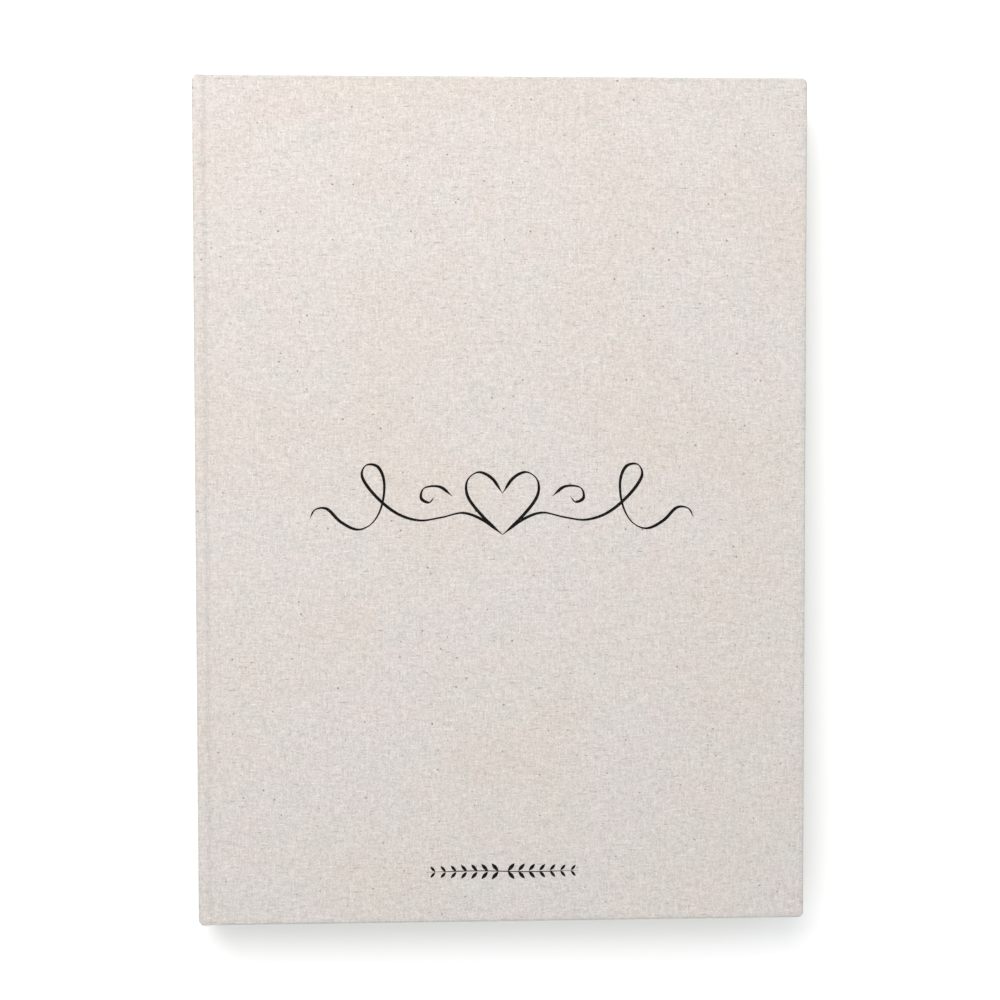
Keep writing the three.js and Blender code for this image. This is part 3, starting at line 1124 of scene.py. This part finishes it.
def pastedown_profile(case):
    """(x, z) points of the pastedown from the fore-edge to where the endpaper folds."""
    climb_x, _, mull_x, _ = climb_lines(case)
    half = CLIMB / 2
    marks = evenly(PASTE_HIGH.x, climb_x + CLIMB, 3) + [climb_x + half, climb_x, climb_x - half]
    marks += evenly(climb_x - CLIMB, mull_x + CLIMB, 14) + [mull_x + half, mull_x, mull_x - half]
    marks += evenly(mull_x - CLIMB, BOARD_LOW.x, 6)
    return [(x, PASTE_TOP) for x in marks]


def fold_profile(low_z, high_z, fold_x, steps=FOLD_STEPS):
    """A half turn from one leaf to the next, open to +X and touching fold_x."""
    radius = (high_z - low_z) / 2
    middle = (high_z + low_z) / 2
    points = []
    for step in range(steps + 1):
        turn = -math.pi / 2 - math.pi * step / steps
        points.append((fold_x + radius + radius * math.cos(turn), middle + radius * math.sin(turn)))
    return points


def settle_pastedown(case, obj):
    """Lets the pastedown part of an endpaper sink to what lies under it."""
    for vertex in obj.data.vertices:
        if abs(vertex.co.z - PASTE_TOP) < 1e-6 and vertex.co.x > BOARD_LOW.x:
            vertex.co.z = pastedown_height(case, vertex.co.x, vertex.co.y)


def leaf_paint(obj, low_z, leaf_pitch, seed):
    """Tells leaves apart by a tone for each, and marks the cut edges."""
    dice = random.Random(seed)
    tones = [dice.random() for _ in range(LEAF_TONES)]
    paint(obj, "leaf_tone", lambda co: tones[int((co.z - low_z) / leaf_pitch) % LEAF_TONES])
    edge_x = SECTION_HIGH.x - CUT_EDGE
    edge_y = SECTION_HIGH.y - CUT_EDGE
    paint(obj, "cut_edge", lambda co: 1.0 if co.x > edge_x or abs(co.y) > edge_y else 0.0)


def edge_rows(reach, inner_steps):
    """Y stations of a leaf, with one close to each cut edge."""
    return [-reach, *evenly(-reach + EDGE_STEP, reach - EDGE_STEP, inner_steps), reach]


def leaf_marks(fore_x, spine_x, steps=10):
    """X stations of a leaf from its fore-edge to its spine edge."""
    return [fore_x, *evenly(fore_x - EDGE_STEP, spine_x, steps)]


class GUESTBOOK_OT_endpapers(bpy.types.Operator):
    """Fold the back endpaper from board to block, and make the front pastedown and flyleaf"""

    bl_idname = "guestbook.endpapers"
    bl_label = "Endpapers"

    def execute(self, context):
        case = context.scene.guest_book_case
        paper = context.scene.guest_book_paper
        material = paper_material("ivory_endpaper", paper.endpaper, ENDPAPER_EDGE)
        rows = stations_across_head(case)
        paste = pastedown_profile(case)
        paste_z = paste[-1][1]
        leaf_z = (FLYLEAF_LOW.z + FLYLEAF_HIGH.z) / 2
        fold_x = FLYLEAF_LOW.x + 0.1 * MM
        fold = fold_profile(paste_z, leaf_z, fold_x)
        leaf = [(x, leaf_z) for x in reversed(leaf_marks(FLYLEAF_HIGH.x, fold[-1][0] + FOLD_ROOM))]

        back = swept_sheet("back_endpaper", paste + fold + leaf, rows)
        settle_pastedown(case, back)
        self.finish(back, paper, material, "back_case", ["back_pastedown", "back_flyleaf"], 21)

        pastedown = swept_sheet("front_pastedown_sheet", paste + fold[:3], rows)
        settle_pastedown(case, pastedown)
        turn_over(pastedown)
        self.finish(pastedown, paper, material, "front_cover", ["front_pastedown"], 22)

        flyleaf = swept_sheet("front_flyleaf_sheet", fold[4:] + leaf, rows)
        turn_over(flyleaf)
        self.finish(flyleaf, paper, material, "upper_pages", ["front_flyleaf"], 23)
        return {"FINISHED"}

    def finish(self, obj, paper, material, body, replaced, seed):
        thicken(obj, paper.leaf_gauge)
        leaf_paint(obj, 0.0, 0.4 * MM, seed)
        smooth(obj, 35)
        finish_piece(obj, material, body, replaced)


def section_sheets(name, low_z, seed, paper, gather_x=None):
    """Four folded sheets, one inside another, trimmed almost flush.

    With gather_x, all four folds close on that line, as in the section where the book opens.
    """
    dice = random.Random(seed)
    pitch = (SECTION_HIGH.z - SECTION_LOW.z) / (2 * SHEETS_PER_SECTION)
    middle = low_z + pitch * SHEETS_PER_SECTION
    rows = edge_rows(SECTION_HIGH.y - HEAD_TRIM, 8)
    sheets = []
    for index in range(SHEETS_PER_SECTION):
        radius = pitch * (SHEETS_PER_SECTION - index - 0.5)
        fold_x = SECTION_LOW.x + pitch * (index + 0.5)
        if gather_x is None:
            fold = fold_profile(middle - radius, middle + radius, fold_x)
        else:
            fold = gathered_fold(middle, radius, fold_x, gather_x + pitch * GATHER_STEP * index)
        trims = [dice.uniform(LEAST_TRIM, MOST_TRIM) * MM for _ in range(2)]
        lower_marks = leaf_marks(SECTION_HIGH.x - trims[0], fold[0][0] + FOLD_ROOM)
        upper_marks = leaf_marks(SECTION_HIGH.x - trims[1], fold[-1][0] + FOLD_ROOM)
        lower = [(x, middle - radius) for x in lower_marks]
        upper = [(x, middle + radius) for x in upper_marks]
        sheet = swept_sheet(f"{name}_sheet_{index}", lower + fold + upper[::-1], rows)
        thicken(sheet, paper.leaf_gauge)
        sheets.append(sheet)
    section = join(sheets, name)
    leaf_paint(section, low_z, pitch, seed)
    smooth(section, 35)
    return section


def gathered_fold(middle, radius, fold_x, gather_x):
    """A pointed fold: both leaves run in to the gathering line."""
    shoulder = fold_x + SHOULDER
    near = gather_x + POINT_LENGTH
    bend = [(shoulder, radius), ((shoulder + near) / 2, radius), (near, radius * 0.6), (gather_x, 0.0)]
    lower = [(x, middle - height) for x, height in bend]
    upper = [(x, middle + height) for x, height in bend[:-1]]
    return lower + upper[::-1]


class GUESTBOOK_OT_pages(bpy.types.Operator):
    """Fold and nest the sheets of every section, and gather the folds of the middle one on the gutter"""

    bl_idname = "guestbook.pages"
    bl_label = "Pages"

    def execute(self, context):
        paper = context.scene.guest_book_paper
        material = paper_material("text_paper", paper.page, PAGE_EDGE)
        bodies = {"back_case": (7, 6, 5), "upper_pages": (3, 2, 1)}
        for body, numbers in bodies.items():
            for number in numbers:
                node = f"section_{number}"
                low_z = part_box(node)[0][2]
                obj = section_sheets(f"{node}_leaves", low_z, 40 + number, paper)
                finish_piece(obj, material, body, [node])
        low_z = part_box("section_4_back_half")[0][2]
        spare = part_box("section_4_front_half")[1][2] - low_z - (SECTION_HIGH.z - SECTION_LOW.z)
        opened = section_sheets("section_4_leaves", low_z + spare / 2, 44, paper, GUTTER_X + 0.06 * MM)
        replaced = ["section_4_back_half", "section_4_front_half", "centre_fold"]
        bend_across_gutter(opened, material, replaced)
        return {"FINISHED"}


# ---------------------------------------------------------------- spine of the block


# Nearest stations of a spine strip to the line where it bends, and the steps to each side of it
BEND_GAP = 0.06 * MM
SIDE_STEPS = 6
# A strip is drawn a little thinner than its node
STRIP_SHARE = 0.9


def heights_across(low_z, high_z):
    """Z stations of a strip on the spine, with none between the two bodies that it joins."""
    return evenly(low_z, MIDDLE - BEND_GAP, SIDE_STEPS) + evenly(MIDDLE + BEND_GAP, high_z, SIDE_STEPS)


def spine_strip(name, node, y_steps):
    """A strip of tape, gauze or paper on the spine of the block, the size of its node."""
    low, high = corners(node)
    x = (low.x + high.x) / 2
    rows = evenly(low.y, high.y, y_steps)
    strip = swept_sheet(name, [(x, z) for z in heights_across(low.z, high.z)], rows)
    thicken(strip, (high.x - low.x) * STRIP_SHARE)
    return strip


class GUESTBOOK_OT_spine_linings(bpy.types.Operator):
    """Lay the tapes, the mull and the kraft lining on the spine of the block"""

    bl_idname = "guestbook.spine_linings"
    bl_label = "Spine linings"

    def execute(self, context):
        tape = woven_material("spine_tape_cotton", TAPE_COTTON, (0.50, 0.45, 0.36, 1), TAPE_PITCH, "YZ")
        gauze = woven_material("spine_mull_gauze", MULL_COTTON, (0.42, 0.38, 0.31, 1), MULL_PITCH, "YZ")
        for index in range(TAPE_COUNT):
            node = f"tape_{index + 1}"
            strip = spine_strip(f"sewing_tape_{index + 1}", node, 4)
            bend_across_gutter(strip, tape, [node])
        mull = spine_strip("spine_mull", "mull", 12)
        bend_across_gutter(mull, gauze, ["mull"])
        lining = spine_strip("kraft_spine_lining", "spine_lining", 12)
        bend_across_gutter(lining, kraft_material(), ["spine_lining"])
        return {"FINISHED"}


# Width of one turn of silk on a band, and the rings of points in it
SILK_TURN = 0.55 * MM
RINGS_PER_TURN = 4
# Place of the tab of a band in its node, and its thickness
TAB_INSET = 0.15 * MM
TAB_GAUGE = 0.22 * MM


def band_piece(name, node, side):
    """A worked bead on the edge of the pages with its tab on the spine. side is 1 at the head."""
    low, high = corners(node)
    radius = (high.x - low.x) / 2
    bead_y = (high.y if side > 0 else low.y) - side * radius
    bead_x = low.x + radius
    span = high.z - low.z
    turns = round(span / SILK_TURN)
    rings = turns * RINGS_PER_TURN
    centres = [Vector((bead_x, bead_y, z)) for z in evenly(low.z, high.z, rings)]
    radii = [radius * (0.97 - 0.09 * math.cos(math.pi * ring / 2)) for ring in range(rings + 1)]
    bead = tube(f"{name}_bead", centres, radii, around=14)
    # This mask is low in the grooves between turns, where the material paints shade
    paint(bead, "silk_turn", lambda co: 0.5 - 0.5 * math.cos(2 * math.pi * (co.z - low.z) / (span / turns)))
    tab_x = low.x + TAB_INSET
    far_y = low.y if side > 0 else high.y
    rows = evenly(min(far_y, bead_y), max(far_y, bead_y), 5)
    tab = swept_sheet(f"{name}_tab", [(tab_x, z) for z in heights_across(low.z, high.z)], rows)
    thicken(tab, TAB_GAUGE)
    paint(tab, "silk_turn", lambda co: 0.9)
    band = join([bead, tab], name)
    smooth(band, 45)
    return band


class GUESTBOOK_OT_bands(bpy.types.Operator):
    """Work the headband and the tailband"""

    bl_idname = "guestbook.bands"
    bl_label = "Head and tail bands"

    def execute(self, context):
        material = band_material()
        for node, side in (("headband", 1), ("tailband", -1)):
            band = band_piece(f"worked_{node}", node, side)
            bend_across_gutter(band, material, [node])
        return {"FINISHED"}


# Thread: holes from the middle of a tape, kettle stitch from the end, and how a stitch rises from its hole
HOLE_GAP = 6 * MM
KETTLE_INSET = 10 * MM
STITCH_RISE = 2 * MM
STITCH_DEPTH = 0.5 * MM
# Radius of the thread as a share of the width of its node
THREAD_SHARE = 0.42


class GUESTBOOK_OT_thread(bpy.types.Operator):
    """Sew the long stitches that show in the gutter of the middle section"""

    bl_idname = "guestbook.thread"
    bl_label = "Sewing thread"

    def execute(self, context):
        low, high = corners("sewing_thread")
        radius = (high.x - low.x) * THREAD_SHARE
        kettle = high.y - KETTLE_INSET
        x = GUTTER_X + 0.15 * MM
        crest = MIDDLE + 0.06 * MM
        holes = sorted(centre + side * HOLE_GAP for centre in tape_centres() for side in (-1, 1))
        ends = [-kettle, *holes, kettle]
        stitches = []
        for start, end in zip(ends[::2], ends[1::2]):
            rows = evenly(start, end, 14)
            centres = []
            for y in rows:
                sunk = 1 - ease(min(y - start, end - y) / STITCH_RISE)
                centres.append(Vector((x, y, crest - STITCH_DEPTH * sunk)))
            stitches.append(tube("gutter_stitch", centres, [radius] * len(rows), around=8))
        thread = join(stitches, "gutter_stitches")
        smooth(thread, 60)
        finish_piece(thread, thread_material(), "back_case", ["sewing_thread"])
        return {"FINISHED"}


# ---------------------------------------------------------------- ornament on the cover

# Half of one pen line, in millimetres from the middle of the ornament: out of the point of the heart,
# along two low waves and up round a tall loop to its end. The other half is its mirror image.
PEN_HALF = (
    (0.0, -11.5), (6.5, -6.5), (14.0, -3.6), (22.0, -5.2), (30.0, -6.2), (38.0, -3.6),
    (45.5, 2.6), (50.2, 9.4), (48.8, 13.6), (44.6, 13.0), (42.4, 7.6), (43.2, -0.6),
    (46.6, -7.0), (52.0, -9.4), (58.0, -6.6), (62.8, -2.0), (67.0, -2.2), (69.0, -5.4),
)
# Half of the heart, from its point round one lobe to the dip between the lobes
HEART_HALF = (
    (0.0, -11.5), (7.0, -5.0), (12.4, 2.2), (12.6, 8.0), (8.6, 11.0), (3.8, 8.8),
    (0.0, 3.4),
)
# A short curl that fills the space beside the heart
CURL_HALF = (
    (18.0, 2.4), (22.5, 5.8), (28.0, 5.4), (29.2, 1.8), (26.4, 0.2), (24.4, 2.2),
)


def smooth_line(points, steps=14):
    """A curve through every point, as many short steps."""
    knots = [Vector(point) for point in points]
    knots = [2 * knots[0] - knots[1], *knots, 2 * knots[-1] - knots[-2]]
    line = []
    for before, start, end, after in zip(knots, knots[1:], knots[2:], knots[3:]):
        for step in range(steps):
            t = step / steps
            square = (2 * before - 5 * start + 4 * end - after) * t * t
            cube = (3 * start - before - 3 * end + after) * t * t * t
            line.append(0.5 * (2 * start + (end - before) * t + square + cube))
    line.append(knots[-2])
    return line


# Pen: slant of the nib in radians, thinnest line and width of a tip as shares, and how fast a line swells
NIB_SLANT = 0.9
HAIRLINE = 0.38
TIP = 0.18
SWELL = 1.6
TAPER_STEPS = 9
# Millimetres that each step of a stroke lies over the last, so that a stroke can cross itself
STEP_LIFT = 0.00002


def pen_stroke(name, line, nib, lift, slant=NIB_SLANT):
    """A flat ribbon along a line, broad where a slanted nib would draw broad and pointed at both ends."""
    mesh = bmesh.new()
    before = None
    total = len(line) - 1
    for index, point in enumerate(line):
        ahead = line[min(index + 1, total)] - line[max(index - 1, 0)]
        direction = ahead.normalized()
        heading = math.atan2(direction.y, direction.x)
        broad = abs(math.sin(heading - slant + math.pi / 2))
        taper = ease(min(index, total - index) / TAPER_STEPS)
        half = nib / 2 * (HAIRLINE + (1 - HAIRLINE) * broad**SWELL) * (TIP + (1 - TIP) * taper)
        side = Vector((-direction.y, direction.x)) * half
        rise = lift + index * STEP_LIFT
        pair = [mesh.verts.new((*(point + side), rise)), mesh.verts.new((*(point - side), rise))]
        if before:
            mesh.faces.new((before[0], before[1], pair[1], pair[0]))
        before = pair
    return ribbon_object(mesh, name)


def ribbon_object(mesh, name):
    """An object from a flat drawing in millimetres, scaled to metres."""
    bmesh.ops.scale(mesh, vec=(MM, MM, MM), verts=mesh.verts)
    return object_from(mesh, name)


# Thickness of the printed ink
INK_GAUGE = 0.025 * MM
# Sprig, in millimetres: leaves a side, first stalk from the middle, room at the ends, and their size
LEAF_PAIRS = 7
LEAF_STEPS = 10
FIRST_LEAF = 2.6
LEAF_ROOM = 4.6
LEAF_ANGLE = 0.85
LEAF_LENGTH = 3.7
LEAF_WIDTH = 1.35


def leaf_shape(name, start, angle, length, width, lift):
    """A pointed leaf of the sprig, from its stalk."""
    mesh = bmesh.new()
    along = Vector((math.cos(angle), math.sin(angle)))
    side = Vector((-along.y, along.x))
    left, right = [], []
    for part in evenly(0, 1, LEAF_STEPS):
        middle = Vector(start) + along * length * part
        half = width / 2 * math.sin(math.pi * part) ** 0.8
        left.append(mesh.verts.new((*(middle + side * half), lift)))
        right.append(mesh.verts.new((*(middle - side * half), lift)))
    for index in range(LEAF_STEPS):
        mesh.faces.new((left[index], right[index], right[index + 1], left[index + 1]))
    return ribbon_object(mesh, name)


def mirrored(points):
    """The same points on the other side of the middle."""
    return [(-x, y) for x, y in points]


def lay_ink(context, strokes, name, centre_y, replaced):
    """Joins strokes into one printed piece, lays it on the cover and gives it the map of the cloth."""
    case = context.scene.guest_book_case
    obj = join(strokes, name)
    tidy_mesh(obj, merge=1e-8)
    if sum(polygon.normal.z for polygon in obj.data.polygons) < 0:
        obj.data.flip_normals()
    surface = BOOK_TOP - (BOARD_LOW.z - CLOTH_LOW.z - case.cloth_gauge) / 2
    for vertex in obj.data.vertices:
        vertex.co += Vector((0, centre_y, surface))
    modify(obj, "SOLIDIFY", thickness=INK_GAUGE, offset=1)
    stations = cloth_stations(case)
    run = 0.0
    for before, after in zip(stations, stations[1:]):
        run += math.hypot(after[0] - before[0], after[1] - before[1])
    shift = run - stations[-1][0]
    cloth_map = obj.data.uv_layers.new(name="Cloth")
    for loop in obj.data.loops:
        place = obj.data.vertices[loop.vertex_index].co
        cloth_map.data[loop.index].uv = (place.x + shift, -place.y)
    if "printed_ink" not in bpy.data.materials:
        ink_material(case, context.scene.guest_book_ornament)
    finish_piece(obj, bpy.data.materials["printed_ink"], "front_cover", replaced)
    return obj


class GUESTBOOK_OT_flourish(bpy.types.Operator):
    """Draw the pen flourish: one line that loops out from a heart to both sides"""

    bl_idname = "guestbook.flourish"
    bl_label = "Pen flourish"

    def execute(self, context):
        nib = context.scene.guest_book_ornament.nib / MM
        strokes = []
        for index, points in enumerate((PEN_HALF, HEART_HALF, CURL_HALF)):
            for side, drawn in (("right", points), ("left", mirrored(points))):
                slant = NIB_SLANT if side == "right" else math.pi - NIB_SLANT
                lift = 0.004 + 0.003 * (2 * index + (side == "left"))
                strokes.append(pen_stroke(f"stroke_{index}_{side}", smooth_line(drawn), nib, lift, slant))
        low, high = corners("cover_flourish")
        lay_ink(context, strokes, "heart_flourish", (low.y + high.y) / 2, ["cover_flourish"])
        return {"FINISHED"}


class GUESTBOOK_OT_sprig(bpy.types.Operator):
    """Draw the small sprig near the tail of the cover"""

    bl_idname = "guestbook.sprig"
    bl_label = "Sprig"

    def execute(self, context):
        low, high = corners("cover_rule")
        half = (high.x - low.x) / 2 / MM
        stem = smooth_line([(-half, 0), (-half / 3, 0.25), (half / 3, -0.25), (half, 0)])
        strokes = [pen_stroke("stem", stem, 0.5, 0.004)]
        for pair in range(LEAF_PAIRS):
            x = FIRST_LEAF + pair * (half - LEAF_ROOM) / (LEAF_PAIRS - 1)
            size = 1 - 0.05 * pair
            for side in (-1, 1):
                for above in (-1, 1):
                    angle = above * LEAF_ANGLE if side > 0 else math.pi - above * LEAF_ANGLE
                    start = (side * (x - 0.9), 0.1 * above)
                    name = f"leaf_{pair}_{side}_{above}"
                    length, width = LEAF_LENGTH * size, LEAF_WIDTH * size
                    strokes.append(leaf_shape(name, start, angle, length, width, 0.008))
        lay_ink(context, strokes, "leaf_sprig", (low.y + high.y) / 2, ["cover_rule"])
        return {"FINISHED"}


# ---------------------------------------------------------------- stage

# The key light hangs past the head of the book and faces a point near its middle
KEY_PLACE = (-0.24, 0.55, 0.62)
KEY_AIM = (-0.02, 0.05, 0)
KEY_SIZE = 0.8
KEY_COLOUR = (1.0, 0.950, 0.925)
SKY_COLOUR = (0.968, 0.992, 0.990, 1)


def area_light(name, place, aim, size, power, colour):
    """A soft square light that faces a point."""
    data = bpy.data.lights.new(name, "AREA")
    data.shape = "SQUARE"
    data.size = size
    data.energy = power
    data.color = colour
    light = bpy.data.objects.new(name, data)
    bpy.context.collection.objects.link(light)
    light.location = place
    light.rotation_euler = (Vector(aim) - Vector(place)).to_track_quat("-Z", "Y").to_euler()


class GUESTBOOK_OT_stage(bpy.types.Operator):
    """Set the pale floor, the soft light and the camera"""

    bl_idname = "guestbook.stage"
    bl_label = "Stage"

    def execute(self, context):
        stage = context.scene.guest_book_stage
        deselect_all()
        bpy.ops.mesh.primitive_plane_add(size=8, location=(0, 0, -0.0002))
        floor = context.view_layer.objects.active
        floor.name = "studio_floor"
        material, w, shader = new_material("pale_floor")
        tone = w.times(w.noise(w.place(), scale=3.0), 0.01, 0.945)
        w.feed(shader.inputs["Base Color"], w.mix(1.0, (1, 1, 1, 1), tone, "MULTIPLY"))
        shader.inputs["Roughness"].default_value = 0.9
        shader.inputs["Specular IOR Level"].default_value = 0.1
        floor.data.materials.append(material)

        world = bpy.data.worlds.new("studio_sky")
        world.use_nodes = True
        background = world.node_tree.nodes["Background"]
        background.inputs["Color"].default_value = SKY_COLOUR
        background.inputs["Strength"].default_value = stage.sky
        context.scene.world = world
        area_light("key_light", KEY_PLACE, KEY_AIM, KEY_SIZE, stage.key_power, KEY_COLOUR)

        data = bpy.data.cameras.new("studio_camera")
        data.lens = stage.lens
        camera = bpy.data.objects.new("studio_camera", data)
        context.collection.objects.link(camera)
        camera.location = stage.camera_place
        camera.rotation_euler = stage.camera_turn
        context.scene.camera = camera
        context.scene.view_settings.view_transform = "Standard"
        return {"FINISHED"}


class GUESTBOOK_PT_panel(bpy.types.Panel):
    """Lists the guest book's operators and settings"""

    bl_idname = "GUESTBOOK_PT_panel"
    bl_label = "Guest Book"
    bl_space_type = "VIEW_3D"
    bl_region_type = "UI"
    bl_category = "Guest Book"

    def draw(self, context):
        for operator in OPERATORS:
            self.layout.operator(operator.bl_idname)
        for holder in SETTINGS:
            group = getattr(context.scene, holder)
            for name in group.bl_rna.properties.keys():
                if name not in ("rna_type", "name"):
                    self.layout.prop(group, name)


SETTINGS = {
    "guest_book_case": CaseSettings,
    "guest_book_paper": PaperSettings,
    "guest_book_ornament": OrnamentSettings,
    "guest_book_stage": StageSettings,
}
OPERATORS = (
    GUESTBOOK_OT_stage,
    GUESTBOOK_OT_case_cloth,
    GUESTBOOK_OT_boards,
    GUESTBOOK_OT_endpapers,
    GUESTBOOK_OT_pages,
    GUESTBOOK_OT_spine_linings,
    GUESTBOOK_OT_bands,
    GUESTBOOK_OT_thread,
    GUESTBOOK_OT_flourish,
    GUESTBOOK_OT_sprig,
)


def register():
    """Registers the settings, the operators and the panel."""
    for holder, settings in SETTINGS.items():
        bpy.utils.register_class(settings)
        setattr(bpy.types.Scene, holder, bpy.props.PointerProperty(type=settings))
    for operator in OPERATORS:
        bpy.utils.register_class(operator)
    bpy.utils.register_class(GUESTBOOK_PT_panel)


def unregister():
    """Takes them all away again."""
    bpy.utils.unregister_class(GUESTBOOK_PT_panel)
    for operator in reversed(OPERATORS):
        bpy.utils.unregister_class(operator)
    for holder, settings in SETTINGS.items():
        delattr(bpy.types.Scene, holder)
        bpy.utils.unregister_class(settings)


def main():
    """Builds the whole book."""
    register()
    deselect_all()
    for operator in OPERATORS:
        family, name = operator.bl_idname.split(".")
        getattr(getattr(bpy.ops, family), name)()


if __name__ == "__main__":
    main()
